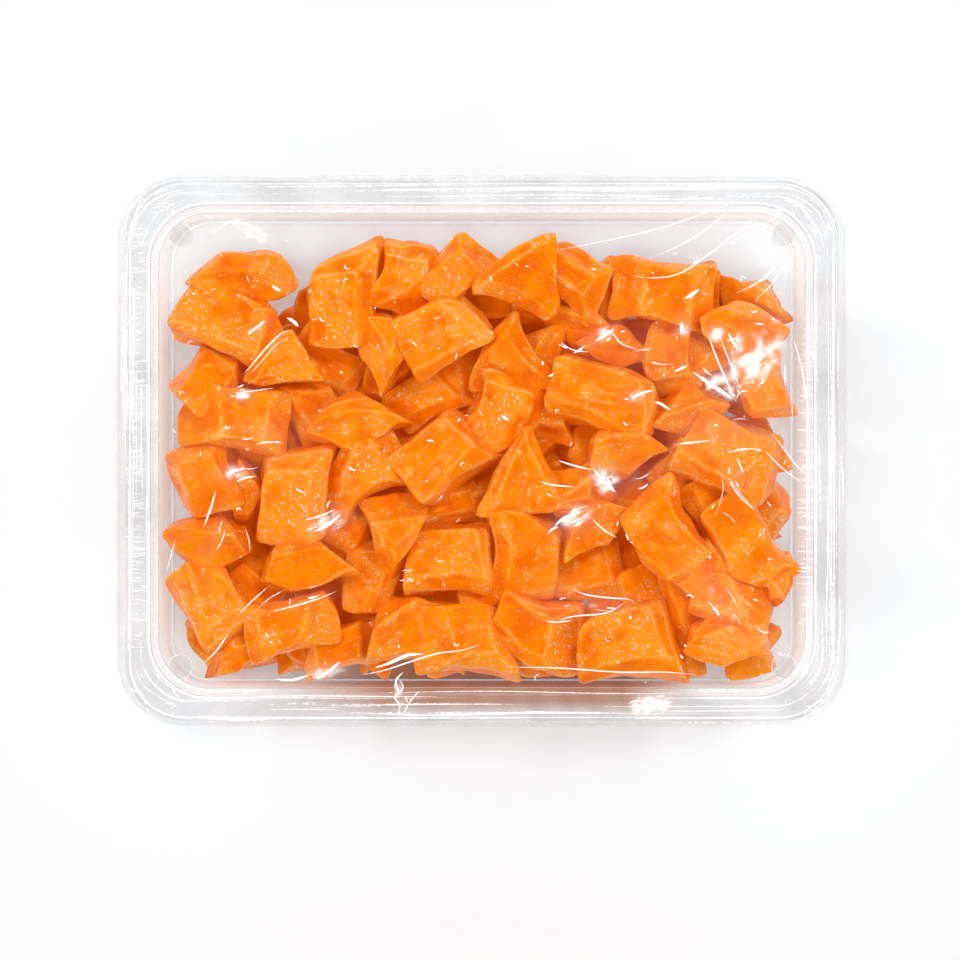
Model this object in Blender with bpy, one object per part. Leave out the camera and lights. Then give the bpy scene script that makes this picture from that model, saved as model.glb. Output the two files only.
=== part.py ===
"""A sealed pack of orange hard candy, lying on its base with the film side up.

A clear moulded tray holds a heap of cut candies, and a stretched film closes it. Metres, +Z up,
X along the pack, Y across it, origin on the ground under the middle.
"""

import math
import random

import bmesh
import bpy
import numpy as np
from mathutils import Euler, Matrix, Vector

MM = 0.001

# Driving dimensions of the pack
PACK_LENGTH = 190.0 * MM
PACK_WIDTH = 143.5 * MM
RIM_TOP = 37.0 * MM
CORNER_RADIUS = 16.5 * MM
FIT_GAP = 0.35 * MM

# Tray: its skirt and walls lean further at the two ends than along the sides
TRAY_WALL = 0.6 * MM
SKIRT_DROP = 4.5 * MM
SKIRT_FLARE = (2.4 * MM, 1.4 * MM)
FLANGE_WIDTH = 6.2 * MM
STEP_WIDTH = 1.9 * MM
STEP_DROP = 2.4 * MM
WALL_DRAFT = (3.0 * MM, 1.8 * MM)
FLOOR_TOP = 1.4 * MM
FLOOR_FILLET = 1.8 * MM
INNER_RADIUS = 13.0 * MM
PANEL_INSET = 18.0 * MM
PANEL_SLOPE = 1.5 * MM
PANEL_RADIUS = 8.0 * MM
LUG_RADIUS = 3.3 * MM
LUG_HEIGHT = 2.6 * MM
LUG_INSET = 2.5 * MM

# Film: stretched over the heap and the flange, tucked under the base
FILM_THICKNESS = 0.3 * MM
FILM_OVER_CANDY = 0.55 * MM
LIP_WIDTH = 15.0 * MM
FILM_COLUMNS = 22
FILM_ROWS = 18
FILM_ARC = 6
RELAX_STEPS = 400

# Candies: how far a piece keeps from the tray and its lugs, and the rounding of its edges
CANDY_CLEARANCE = 0.9 * MM
CORNER_BY_LUGS = 26.0 * MM
LUGS_BEGIN = 9.0 * MM
EDGE_SHARPNESS = 14.0
THICKNESS_SHARE = 0.66
THINNEST = 9.5 * MM
THICKEST = 13.5 * MM
TILT_DEGREES = 9.0

# Core of the heap, under and between the candies
CORE_ENDS = (-63.0 * MM, 64.0 * MM)
CORE_SIDES = (-52.0 * MM, 41.0 * MM)
CORE_BOTTOM = 5.0 * MM
CORE_TOP = 25.0 * MM
CORE_CHAMFER = 7.0 * MM

# The pieces that show from above, placed by the column and row of a view 960 pixels wide that
# looks straight down: kind, column, row, length mm, width mm, turn in degrees, height of top mm
VIEW_CENTRE = (482.0, 450.6)
VIEW_SCALE = 0.2589 * MM
SHOWN = (
    ("slab", 325, 362, 20, 14, -35, 30.5),
    ("slab", 312, 410, 20, 16, -60, 31.5),
    ("slab", 425, 398, 19, 14, 40, 30.0),
    ("pillow", 495, 300, 17, 13, 10, 28.0),
    ("boat", 577, 320, 21, 14, -10, 31.5),
    ("boat", 548, 348, 19, 13, 70, 30.5),
    ("pillow", 552, 408, 17, 12, 80, 30.5),
    ("slab", 685, 462, 19, 14, 50, 29.5),
    ("slab", 714, 507, 18, 14, -50, 31.0),
    ("boat", 243, 493, 16, 11, 85, 32.5),
    ("slab", 445, 500, 20, 16, 20, 29.5),
    ("pillow", 345, 530, 18, 13, 60, 29.5),
    ("boat", 238, 655, 16, 12, 35, 31.5),
    ("pillow", 337, 656, 20, 12, 12, 31.5),
    ("slab", 262, 592, 18, 13, -20, 30.0),
    ("slab", 500, 606, 18, 14, 20, 30.5),
    ("slab", 585, 573, 21, 16, 10, 30.5),
    ("slab", 690, 607, 20, 13, -70, 33.0),
    ("pillow", 640, 590, 18, 13, 15, 30.0),
    ("slab", 700, 352, 18, 14, 35, 31.5),
    ("slab", 368, 578, 20, 16, 80, 32.5),
    ("slab", 575, 276, 18, 15, -30, 34.5),
    ("slab", 505, 412, 22, 19, 70, 34.0),
    ("slab", 403, 278, 18, 17, 75, 36.5),
    ("boat", 617, 348, 19, 12, -10, 34.5),
    ("pillow", 669, 356, 19, 15, -80, 35.0),
    ("boat", 695, 413, 22, 15, 10, 35.5),
    ("slab", 211, 380, 19, 15, 55, 35.5),
    ("wedge", 270, 371, 22, 17, 31, 37.0),
    ("slab", 232, 323, 28, 18, -18, 36.5),
    ("boat", 253, 279, 28, 13, 2, 38.5),
    ("slab", 343, 293, 24, 20, 102, 38.5),
    ("boat", 381, 345, 24, 14, -78, 38.0),
    ("pillow", 450, 276, 23, 14, 49, 38.0),
    ("wedge", 511, 350, 21, 26, -88, 36.5),
    ("wedge", 514, 280, 22, 27, 4, 39.0),
    ("slab", 441, 333, 22, 19, 35, 38.5),
    ("pillow", 661, 291, 29, 18, -8, 39.0),
    ("boat", 744, 328, 26, 14, -5, 38.0),
    ("pillow", 764, 380, 23, 14, -78, 37.5),
    ("slab", 727, 456, 27, 19, -20, 38.0),
    ("pillow", 230, 417, 31, 19, -8, 38.5),
    ("boat", 354, 422, 26, 17, 9, 38.0),
    ("slab", 606, 399, 27, 18, -11, 37.5),
    ("slab", 197, 476, 20, 15, 115, 36.5),
    ("slab", 294, 496, 25, 19, 94, 38.5),
    ("pillow", 361, 471, 24, 18, 30, 37.0),
    ("slab", 444, 456, 23, 19, 42, 39.0),
    ("wedge", 525, 469, 23, 26, -88, 39.0),
    ("slab", 578, 488, 16, 13, 20, 35.0),
    ("boat", 621, 451, 24, 17, 14, 37.5),
    ("slab", 452, 561, 22, 18, 5, 36.0),
    ("wedge", 391, 535, 25, 23, 84, 39.0),
    ("boat", 596, 526, 22, 18, 30, 38.0),
    ("boat", 210, 542, 26, 16, -4, 38.5),
    ("slab", 209, 600, 21, 17, -58, 37.0),
    ("boat", 299, 566, 28, 15, 4, 38.0),
    ("slab", 525, 557, 26, 19, -83, 39.0),
    ("pillow", 668, 538, 29, 18, -55, 39.5),
    ("slab", 713, 582, 21, 15, -40, 37.0),
    ("pillow", 765, 543, 28, 16, -61, 38.5),
    ("wedge", 776, 583, 15, 14, 100, 36.0),
    ("slab", 750, 621, 20, 15, -20, 36.0),
    ("boat", 731, 656, 24, 13, -5, 37.0),
    ("slab", 536, 630, 22, 18, -15, 36.5),
    ("pillow", 294, 625, 27, 15, 14, 37.5),
    ("boat", 405, 627, 28, 18, 32, 39.0),
    ("slab", 459, 649, 25, 19, 8, 38.5),
    ("slab", 628, 644, 25, 19, 12, 38.5),
)

# The pieces under them, which show through the clear tray from below and from the sides
UNDER_COLUMNS = 8
UNDER_ROWS = 6
UNDER_ENDS = (-66.0 * MM, 69.0 * MM)
UNDER_SIDES = (-52.0 * MM, 41.0 * MM)
UNDER_TOPS = (14.5 * MM, 27.0 * MM)
UNDER_JITTER = 1.8 * MM
UNDER_SEED = 41


def clear_scene():
    for thing in list(bpy.data.objects):
        bpy.data.objects.remove(thing, do_unlink=True)


def material(name, colour, roughness, alpha=1.0):
    finish = bpy.data.materials.new(name)
    finish.use_nodes = True
    shader = finish.node_tree.nodes["Principled BSDF"]
    shader.inputs["Base Color"].default_value = (*colour, 1.0)
    shader.inputs["Roughness"].default_value = roughness
    shader.inputs["Metallic"].default_value = 0.0
    shader.inputs["Alpha"].default_value = alpha
    return finish


def object_from(name, mesh, finish, smooth_angle=0.5):
    thing = bpy.data.objects.new(name, mesh)
    bpy.context.scene.collection.objects.link(thing)
    mesh.materials.clear()
    mesh.materials.append(finish)
    mesh.shade_smooth()
    mesh.set_sharp_from_angle(angle=smooth_angle)
    return thing


def rounded_ring(half_x, half_y, radius, height, columns, rows, arc):
    """One rounded rectangle, counter-clockwise from the middle of its lower left corner.

    Each side runs from corner middle to corner middle in `columns` or `rows` steps, of which
    `arc` steps belong to the two half corners.
    """
    corners = ((-1, -1, 225.0), (1, -1, 315.0), (1, 1, 45.0), (-1, 1, 135.0))
    points = []
    for side, (sign_x, sign_y, middle) in enumerate(corners):
        next_x, next_y, _ = corners[(side + 1) % 4]
        steps = columns if side % 2 == 0 else rows
        centre = Vector((sign_x * (half_x - radius), sign_y * (half_y - radius)))
        ahead = Vector((next_x * (half_x - radius), next_y * (half_y - radius)))
        half_arc = arc // 2
        for step in range(half_arc + 1):
            angle = math.radians(middle + 45.0 * step / half_arc)
            points.append(centre + radius * Vector((math.cos(angle), math.sin(angle))))
        start = points[-1]
        end = ahead + radius * Vector((math.cos(angle), math.sin(angle)))
        straight = steps - arc
        for step in range(1, straight + 1):
            points.append(start.lerp(end, step / straight))
        for step in range(1, half_arc):
            turned = angle + math.radians(45.0 * step / half_arc)
            points.append(ahead + radius * Vector((math.cos(turned), math.sin(turned))))
    return [Vector((point.x, point.y, height)) for point in points]


def bridge(shape, lower, upper):
    count = len(lower)
    for index in range(count):
        after = (index + 1) % count
        shape.faces.new((lower[index], lower[after], upper[after], upper[index]))


def patch_inside(ring, columns, rows):
    """Rows of points that fill a ring made by rounded_ring, its own points on the border."""
    bottom = ring[: columns + 1]
    right = ring[columns : columns + rows + 1]
    top = ring[columns + rows : 2 * columns + rows + 1][::-1]
    left = (ring[2 * columns + rows :] + ring[:1])[::-1]
    grid = []
    for j in range(rows + 1):
        v = j / rows
        line = []
        for i in range(columns + 1):
            u = i / columns
            across = bottom[i].lerp(top[i], v) + left[j].lerp(right[j], u)
            corners = bottom[0].lerp(bottom[-1], u).lerp(top[0].lerp(top[-1], u), v)
            line.append(across - corners)
        grid.append(line)
    return grid


def cap_ring(shape, ring, grid, columns, rows):
    """Fills a ring of vertices with the patch's faces."""
    border = {}
    for i in range(columns + 1):
        border[0, i] = ring[i]
        border[rows, i] = ring[(2 * columns + rows - i) % len(ring)]
    for j in range(rows + 1):
        border[j, columns] = ring[columns + j]
        border[j, 0] = ring[(2 * columns + 2 * rows - j) % len(ring)]
    corner = {
        (j, i): border.get((j, i)) or shape.verts.new(grid[j][i])
        for j in range(rows + 1)
        for i in range(columns + 1)
    }
    for j in range(rows):
        for i in range(columns):
            face = (corner[j, i], corner[j, i + 1], corner[j + 1, i + 1], corner[j + 1, i])
            shape.faces.new(face)


def shell(name, shape, thickness, finish):
    """A sheet given its thickness on the side away from its normals."""
    mesh = bpy.data.meshes.new(name)
    shape.to_mesh(mesh)
    shape.free()
    thing = object_from(name, mesh, finish)
    solid = thing.modifiers.new("wall", "SOLIDIFY")
    solid.thickness = thickness
    solid.offset = -1.0
    solid.use_even_offset = True
    return thing


def tray_half(inset_x, inset_y):
    edge = FIT_GAP + FILM_THICKNESS
    return PACK_LENGTH / 2 - edge - inset_x, PACK_WIDTH / 2 - edge - inset_y


def wall_half(height):
    """Half length and half width of the tray's inside at a height."""
    top = RIM_TOP - STEP_DROP
    bottom = FLOOR_TOP + FLOOR_FILLET
    depth = (top - height) / (top - bottom)
    inset_x = SKIRT_FLARE[0] + FLANGE_WIDTH + STEP_WIDTH + WALL_DRAFT[0] * depth
    inset_y = SKIRT_FLARE[1] + FLANGE_WIDTH + STEP_WIDTH + WALL_DRAFT[1] * depth
    return tray_half(inset_x, inset_y)


def tray_rings():
    """The tray's upper side from the skirt's edge over the flange and down to the floor panel."""
    flare_x, flare_y = SKIRT_FLARE
    shoulder = tray_half(0.8 * flare_x, 0.8 * flare_y)
    flange_edge = tray_half(1.2 * flare_x, 1.2 * flare_y)
    step_edge = tray_half(flare_x + FLANGE_WIDTH, flare_y + FLANGE_WIDTH)
    wall_top = RIM_TOP - STEP_DROP
    wall_bottom = FLOOR_TOP + FLOOR_FILLET
    floor_x, floor_y = wall_half(wall_bottom)
    panel_x, panel_y = floor_x - PANEL_INSET, floor_y - PANEL_INSET
    foot_x, foot_y = panel_x - PANEL_SLOPE, panel_y - PANEL_SLOPE
    return [
        (*tray_half(0, 0), CORNER_RADIUS, RIM_TOP - SKIRT_DROP),
        (*shoulder, CORNER_RADIUS - 1.5 * MM, RIM_TOP - 0.7 * MM),
        (*flange_edge, CORNER_RADIUS - 2.2 * MM, RIM_TOP),
        (*step_edge, INNER_RADIUS + STEP_WIDTH, RIM_TOP),
        (*wall_half(wall_top), INNER_RADIUS, wall_top),
        (floor_x, floor_y, INNER_RADIUS - 2.0 * MM, wall_bottom),
        (floor_x - 0.5 * MM, floor_y - 0.5 * MM, INNER_RADIUS - 2.2 * MM, FLOOR_TOP + 0.5 * MM),
        (floor_x - FLOOR_FILLET, floor_y - FLOOR_FILLET, INNER_RADIUS - 3.4 * MM, FLOOR_TOP),
        (panel_x, panel_y, PANEL_RADIUS, FLOOR_TOP),
        (foot_x, foot_y, PANEL_RADIUS - MM, TRAY_WALL),
    ]


def lug(corner_x, corner_y):
    """A stacking lug, the round stud in a corner of the tray just below the step."""
    half_x, half_y = wall_half(RIM_TOP - STEP_DROP)
    diagonal = (INNER_RADIUS - LUG_INSET) * math.sqrt(0.5)
    place = Vector((
        corner_x * (half_x - INNER_RADIUS + diagonal),
        corner_y * (half_y - INNER_RADIUS + diagonal),
        RIM_TOP - STEP_DROP - LUG_HEIGHT / 2 - 0.3 * MM,
    ))
    shape = bmesh.new()
    bmesh.ops.create_cone(
        shape,
        cap_ends=True,
        segments=14,
        radius1=LUG_RADIUS,
        radius2=LUG_RADIUS,
        depth=LUG_HEIGHT,
        matrix=Matrix.Translation(place),
    )
    mesh = bpy.data.meshes.new("lug")
    shape.to_mesh(mesh)
    shape.free()
    return bpy.data.objects.new("lug", mesh)


def join_all(thing, pieces):
    """One Boolean union of the object with the pieces, applied, with the pieces removed."""
    group = bpy.data.collections.new(thing.name + "_pieces")
    bpy.context.scene.collection.children.link(group)
    for piece in pieces:
        group.objects.link(piece)
        piece.hide_render = True
        piece.display_type = "WIRE"
    union = thing.modifiers.new("union", "BOOLEAN")
    union.operation = "UNION"
    union.operand_type = "COLLECTION"
    union.collection = group
    union.solver = "MANIFOLD"
    bpy.context.view_layer.update()
    graph = bpy.context.evaluated_depsgraph_get()
    joined = bpy.data.meshes.new_from_object(thing.evaluated_get(graph), depsgraph=graph)
    thing.modifiers.clear()
    thing.data = joined
    for piece in pieces:
        bpy.data.objects.remove(piece, do_unlink=True)
    bpy.data.collections.remove(group)


def keep_outer_body(thing, flat_angle=0.01):
    """Drops loose scraps and sealed hollows, and merges the flat faces that the union split."""
    shape = bmesh.new()
    shape.from_mesh(thing.data)
    waiting = set(shape.faces)
    bodies = []
    while waiting:
        stack = [waiting.pop()]
        body = list(stack)
        while stack:
            face = stack.pop()
            for edge in face.edges:
                for other in edge.link_faces:
                    if other in waiting:
                        waiting.remove(other)
                        stack.append(other)
                        body.append(other)
        bodies.append(body)
    bodies.sort(key=len)
    scraps = [face for body in bodies[:-1] for face in body]
    bmesh.ops.delete(shape, geom=scraps, context="FACES")
    bmesh.ops.dissolve_limit(
        shape, angle_limit=flat_angle, verts=shape.verts[:], edges=shape.edges[:]
    )
    bmesh.ops.triangulate(shape, faces=shape.faces[:])
    shape.to_mesh(thing.data)
    shape.free()


def make_tray(finish):
    shape = bmesh.new()
    columns, rows, arc = 10, 9, 8
    levels = []
    for half_x, half_y, radius, height in tray_rings():
        ring = rounded_ring(half_x, half_y, radius, height, columns, rows, arc)
        levels.append([shape.verts.new(point) for point in ring])
    for outer, inner in zip(levels, levels[1:]):
        bridge(shape, outer, inner)
    shape.faces.new(levels[-1])
    tray = shell("tray", shape, TRAY_WALL, finish)
    lugs = [lug(x, y) for x in (-1, 1) for y in (-1, 1)]
    join_all(tray, lugs)
    keep_outer_body(tray)
    return tray


def facet(normal, point):
    """A plane through a point, as its unit normal and its distance from the candy's middle."""
    normal = Vector(normal).normalized()
    return normal, normal.dot(Vector(point))


def pillow_facets(a, b, c):
    """A length of rope cut with a squeeze: both ends pinched to a level lip."""
    facets = [facet((0, 0, side), (0, 0, side * c)) for side in (-1, 1)]
    for side in (-1, 1):
        for up in (-1, 1):
            facets.append(facet((side * 0.74, 0, up * 0.67), (side * a, 0, up * 0.12 * c)))
            facets.append(facet((0, side, up * 0.3), (0, side * b, 0)))
    return facets


def wedge_facets(a, b, c):
    """Cut with a half turn: an upright edge at one end and a wide level edge at the other."""
    tip = 0.14 * b
    lip = 0.42 * c
    facets = [facet((1, 0, 0), (a, 0, 0)), facet((-1, 0, 0), (-a, 0, 0))]
    for side in (-1, 1):
        facets.append(facet((tip - b, side * 2 * a, 0), (a, side * b, 0)))
        facets.append(facet((c - lip, 0, side * 2 * a), (a, 0, side * lip)))
        facets.append(facet((-0.3, side * 0.6, 0.8), (0.2 * a, side * 0.42 * b, 0.72 * c)))
    return facets


def boat_facets(a, b, c):
    """Pointed at both ends, with a ridge along the top nearer to one side."""
    facets = [
        facet((0, 0.78, 0.62), (0, 0.35 * b, c)),
        facet((0, -0.4, 0.92), (0, 0.35 * b, c)),
        facet((0, 0, -1), (0, 0, -0.9 * c)),
    ]
    for side in (-1, 1):
        facets.append(facet((0, side, 0.1), (0, side * b, 0)))
        for end in (-1, 1):
            facets.append(facet((end * 0.72, side * 0.69, 0.1), (end * a, side * 0.15 * b, 0)))
    return facets


def slab_facets(a, b, c):
    """A four-sided block with leaning sides and bevelled upper edges."""
    return [
        facet((1, 0.14, 0.16), (a, 0, 0)),
        facet((-1, 0.1, -0.12), (-a, 0, 0)),
        facet((0.1, 1, 0.2), (0, b, 0)),
        facet((-0.14, -1, 0.12), (0, -b, 0)),
        facet((0.06, 0.1, 1), (0, 0, c)),
        facet((0, 0, -1), (0, 0, -c)),
        facet((0.62, 0.1, 0.78), (0.74 * a, 0, 0.8 * c)),
        facet((0, -0.6, 0.8), (0, -0.7 * b, 0.85 * c)),
    ]


KINDS = {
    "pillow": pillow_facets,
    "wedge": wedge_facets,
    "boat": boat_facets,
    "slab": slab_facets,
}


def reach(facets, direction):
    """How far the soft-edged body reaches along a direction from its middle."""
    total = 0.0
    for normal, distance in facets:
        total += max(0.0, normal.dot(direction) / distance) ** EDGE_SHARPNESS
    return total ** (-1.0 / EDGE_SHARPNESS)


def uneven(facets, chance):
    """The same facets, none quite where the pattern has it, and two corners knocked off."""
    changed = []
    for normal, distance in facets:
        wobble = Vector([chance.gauss(0, 0.05) for _ in range(3)])
        changed.append(((normal + wobble).normalized(), distance * chance.uniform(0.95, 1.02)))
    for _ in range(2):
        corner = Vector([chance.gauss(0, 1) for _ in range(3)]).normalized()
        changed.append((corner, 0.9 * reach(changed, corner)))
    return changed


def inside_tray(points):
    """The move that brings a candy's points clear of the tray's wall."""
    move = Vector((0, 0, 0))
    for _ in range(3):
        for point in points:
            half_x, half_y = wall_half(point.z)
            half_x -= CANDY_CLEARANCE
            half_y -= CANDY_CLEARANCE
            place = point + move
            radius = CORNER_BY_LUGS if point.z > RIM_TOP - LUGS_BEGIN else INNER_RADIUS
            over_x = max(0.0, abs(place.x) - (half_x - radius))
            over_y = max(0.0, abs(place.y) - (half_y - radius))
            past = Vector((over_x, over_y, 0))
            if past.length > radius:
                push = past * (1 - radius / past.length)
                move.x -= math.copysign(push.x, place.x)
                move.y -= math.copysign(push.y, place.y)
    return move


def candy_points(kind, x, y, length, width, turn, top, seed, directions):
    """The points where a few rays from a candy's middle leave it, with the candy in its place."""
    chance = random.Random(seed)
    thickness = min(THICKEST, max(THINNEST, THICKNESS_SHARE * width))
    a, b, c = length / 2, width / 2, thickness / 2
    facets = uneven(KINDS[kind](a, b, c), chance)
    tilt = math.radians(TILT_DEGREES)
    turned = Euler((chance.uniform(-tilt, tilt), chance.uniform(-tilt, tilt), turn)).to_matrix()
    points = []
    for direction in directions:
        ray = Vector((direction[0] * a, direction[1] * b, direction[2] * c)).normalized()
        points.append(turned @ (ray * reach(facets, ray)))
    rise = top - max(point.z for point in points)
    points = [point + Vector((x, y, rise)) for point in points]
    move = inside_tray(points)
    return [point + move for point in points]


def all_directions():
    """To the corners, edge middles and face middles of a cube."""
    steps = (-1, 0, 1)
    return [(i, j, k) for i in steps for j in steps for k in steps if (i, j, k) != (0, 0, 0)]


def few_directions():
    """To the corners and face middles of a cube."""
    return [way for way in all_directions() if abs(way[0]) + abs(way[1]) + abs(way[2]) != 2]


def shown_candies():
    places = []
    for index, (kind, column, row, length, width, turn, top) in enumerate(SHOWN):
        x = (column - VIEW_CENTRE[0]) * VIEW_SCALE
        y = (VIEW_CENTRE[1] - row) * VIEW_SCALE
        size = (length * MM, width * MM)
        places.append((kind, x, y, *size, math.radians(turn), top * MM, 100 + index))
    return places


def under_candies():
    """Two layers on a loose grid: all of the lowest, and of the next only those at the edge."""
    chance = random.Random(UNDER_SEED)
    kinds = sorted(KINDS)
    places = []
    for layer, top in enumerate(UNDER_TOPS):
        shift = 0.25 if layer else 0.0
        for column in range(UNDER_COLUMNS):
            for row in range(UNDER_ROWS):
                across = (column + shift) / (UNDER_COLUMNS - 1 + 0.25)
                along = (row + shift) / (UNDER_ROWS - 1 + 0.25)
                x = UNDER_ENDS[0] + (UNDER_ENDS[1] - UNDER_ENDS[0]) * across
                y = UNDER_SIDES[0] + (UNDER_SIDES[1] - UNDER_SIDES[0]) * along
                x += chance.uniform(-UNDER_JITTER, UNDER_JITTER)
                y += chance.uniform(-UNDER_JITTER, UNDER_JITTER)
                length = chance.uniform(19, 24) * MM
                width = chance.uniform(14, 18) * MM
                turn = chance.uniform(-math.pi, math.pi)
                kind = kinds[chance.randrange(len(kinds))]
                seed = 1000 + 100 * layer + column * UNDER_ROWS + row
                at_edge = column in (0, UNDER_COLUMNS - 1) or row in (0, UNDER_ROWS - 1)
                if layer == 0 or at_edge:
                    places.append((kind, x, y, length, width, turn, top, seed))
    return places


def candy_hull(points):
    shape = bmesh.new()
    for point in points:
        shape.verts.new(point)
    bmesh.ops.convex_hull(shape, input=shape.verts[:])
    loose = [vert for vert in shape.verts if not vert.link_faces]
    bmesh.ops.delete(shape, geom=loose, context="VERTS")
    bmesh.ops.recalc_face_normals(shape, faces=shape.faces[:])
    mesh = bpy.data.meshes.new("candy")
    shape.to_mesh(mesh)
    shape.free()
    return bpy.data.objects.new("candy", mesh)


def make_core(finish):
    shape = bmesh.new()
    levels = []
    for height, inset in (
        (CORE_BOTTOM, CORE_CHAMFER / 2),
        (CORE_BOTTOM + CORE_CHAMFER / 2, 0),
        (CORE_TOP - CORE_CHAMFER, 0),
        (CORE_TOP, CORE_CHAMFER),
    ):
        low_x, high_x = CORE_ENDS[0] + inset, CORE_ENDS[1] - inset
        low_y, high_y = CORE_SIDES[0] + inset, CORE_SIDES[1] - inset
        corners = ((low_x, low_y), (high_x, low_y), (high_x, high_y), (low_x, high_y))
        levels.append([shape.verts.new((x, y, height)) for x, y in corners])
    for lower, upper in zip(levels, levels[1:]):
        bridge(shape, lower, upper)
    shape.faces.new(levels[0][::-1])
    shape.faces.new(levels[-1])
    mesh = bpy.data.meshes.new("candy_heap")
    shape.to_mesh(mesh)
    shape.free()
    return object_from("candy_heap", mesh, finish)


def make_heap(finish):
    """The core with every candy that shows fused on; also the candies' meshes for the film."""
    heap = make_core(finish)
    candies = [candy_hull(candy_points(*place, all_directions())) for place in shown_candies()]
    candies += [candy_hull(candy_points(*place, few_directions())) for place in under_candies()]
    join_all(heap, candies)
    keep_outer_body(heap)
    heap.data.materials.clear()
    heap.data.materials.append(finish)
    heap.data.shade_flat()
    return heap


def sampled_surface(mesh, spacing):
    """Points spread over a mesh of triangles, no further apart than the spacing."""
    points = []
    for face in mesh.polygons:
        a, b, c = (mesh.vertices[index].co for index in face.vertices)
        longest = max((b - a).length, (c - b).length, (a - c).length)
        steps = max(1, math.ceil(longest / spacing))
        for i in range(steps + 1):
            for j in range(steps + 1 - i):
                points.append(a + (b - a) * (i / steps) + (c - a) * (j / steps))
    return points


def drape(grid, heap):
    """Lifts the patch over the heap as a stretched film: straight where nothing holds it up."""
    rows, columns = len(grid) - 1, len(grid[0]) - 1
    flat = np.array([[(point.x, point.y) for point in line] for line in grid])
    centres = (flat[:-1, :-1] + flat[1:, :-1] + flat[:-1, 1:] + flat[1:, 1:]) / 4
    floor = np.full((rows + 1, columns + 1), grid[0][0].z)
    for point in sampled_surface(heap.data, 3.0 * MM):
        if point.z < RIM_TOP - 3.0 * MM:
            continue
        gaps = np.abs(centres - (point.x, point.y)).sum(axis=2)
        j, i = np.unravel_index(np.argmin(gaps), gaps.shape)
        near = floor[j : j + 2, i : i + 2]
        np.maximum(near, point.z + FILM_OVER_CANDY + FILM_THICKNESS, out=near)
    height = floor.copy()
    edge = grid[0][0].z
    for _ in range(RELAX_STEPS):
        middle = (height[:-2, 1:-1] + height[2:, 1:-1] + height[1:-1, :-2] + height[1:-1, 2:]) / 4
        height[1:-1, 1:-1] = np.maximum(floor[1:-1, 1:-1], middle)
        height[0, :] = height[-1, :] = edge
        height[:, 0] = height[:, -1] = edge
    for j, line in enumerate(grid):
        for i, point in enumerate(line):
            point.z = height[j, i]


def film_rings():
    """The film's outer side from the edge of its lip under the base up to the flange."""
    outer_x, outer_y = PACK_LENGTH / 2, PACK_WIDTH / 2
    base_x, base_y = wall_half(FLOOR_TOP + FLOOR_FILLET)
    around = TRAY_WALL + FIT_GAP + FILM_THICKNESS
    top = RIM_TOP + FIT_GAP + FILM_THICKNESS
    lip = around - 1.2 * MM
    return [
        (base_x + lip - LIP_WIDTH, base_y + lip - LIP_WIDTH, 6.0 * MM, 0.0),
        (base_x + lip, base_y + lip, INNER_RADIUS - 2.4 * MM, 0.0),
        (base_x + around + 0.4 * MM, base_y + around + 0.4 * MM, INNER_RADIUS - MM, 2.4 * MM),
        (outer_x, outer_y, CORNER_RADIUS + 0.5 * MM, RIM_TOP - SKIRT_DROP - 0.4 * MM),
        (
            outer_x - SKIRT_FLARE[0] * 0.8,
            outer_y - SKIRT_FLARE[1] * 0.8,
            CORNER_RADIUS - 1.0 * MM,
            top - 0.5 * MM,
        ),
        (
            outer_x - SKIRT_FLARE[0] * 1.3,
            outer_y - SKIRT_FLARE[1] * 1.3,
            CORNER_RADIUS - 1.7 * MM,
            top,
        ),
    ]


def make_film(finish, heap):
    shape = bmesh.new()
    levels = []
    for half_x, half_y, radius, height in film_rings():
        ring = rounded_ring(half_x, half_y, radius, height, FILM_COLUMNS, FILM_ROWS, FILM_ARC)
        levels.append([shape.verts.new(point) for point in ring])
    for lower, upper in zip(levels, levels[1:]):
        bridge(shape, lower, upper)
    top = [vert.co.copy() for vert in levels[-1]]
    grid = patch_inside(top, FILM_COLUMNS, FILM_ROWS)
    drape(grid, heap)
    cap_ring(shape, levels[-1], grid, FILM_COLUMNS, FILM_ROWS)
    return shell("film", shape, FILM_THICKNESS, finish)


def main():
    clear_scene()
    clear_plastic = material("clear_tray", (0.93, 0.93, 0.94), 0.12, 0.3)
    clear_film = material("clear_film", (0.96, 0.96, 0.97), 0.08, 0.2)
    orange_candy = material("orange_candy", (0.95, 0.27, 0.01), 0.3)
    make_tray(clear_plastic)
    heap = make_heap(orange_candy)
    make_film(clear_film, heap)


if __name__ == "__main__":
    main()
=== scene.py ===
"""The looks of a sealed pack of orange hard candy: its cut pieces, its clear tray and its film."""

import math
import random

import bpy
import numpy as np
from mathutils import Euler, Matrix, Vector


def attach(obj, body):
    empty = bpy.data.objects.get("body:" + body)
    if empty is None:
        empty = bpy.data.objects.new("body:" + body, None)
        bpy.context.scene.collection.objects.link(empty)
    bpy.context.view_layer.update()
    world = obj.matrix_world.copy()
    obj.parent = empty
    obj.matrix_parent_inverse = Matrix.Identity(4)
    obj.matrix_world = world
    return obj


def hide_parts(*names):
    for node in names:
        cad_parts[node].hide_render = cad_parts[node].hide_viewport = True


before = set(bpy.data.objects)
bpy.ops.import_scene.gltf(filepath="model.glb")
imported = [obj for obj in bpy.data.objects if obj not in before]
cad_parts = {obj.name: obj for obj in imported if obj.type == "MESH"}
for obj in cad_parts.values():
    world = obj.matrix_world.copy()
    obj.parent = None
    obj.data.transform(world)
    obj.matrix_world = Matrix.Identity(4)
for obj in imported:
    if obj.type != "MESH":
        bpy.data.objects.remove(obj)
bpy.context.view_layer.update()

MM = 0.001
BODY = "root"

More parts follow.
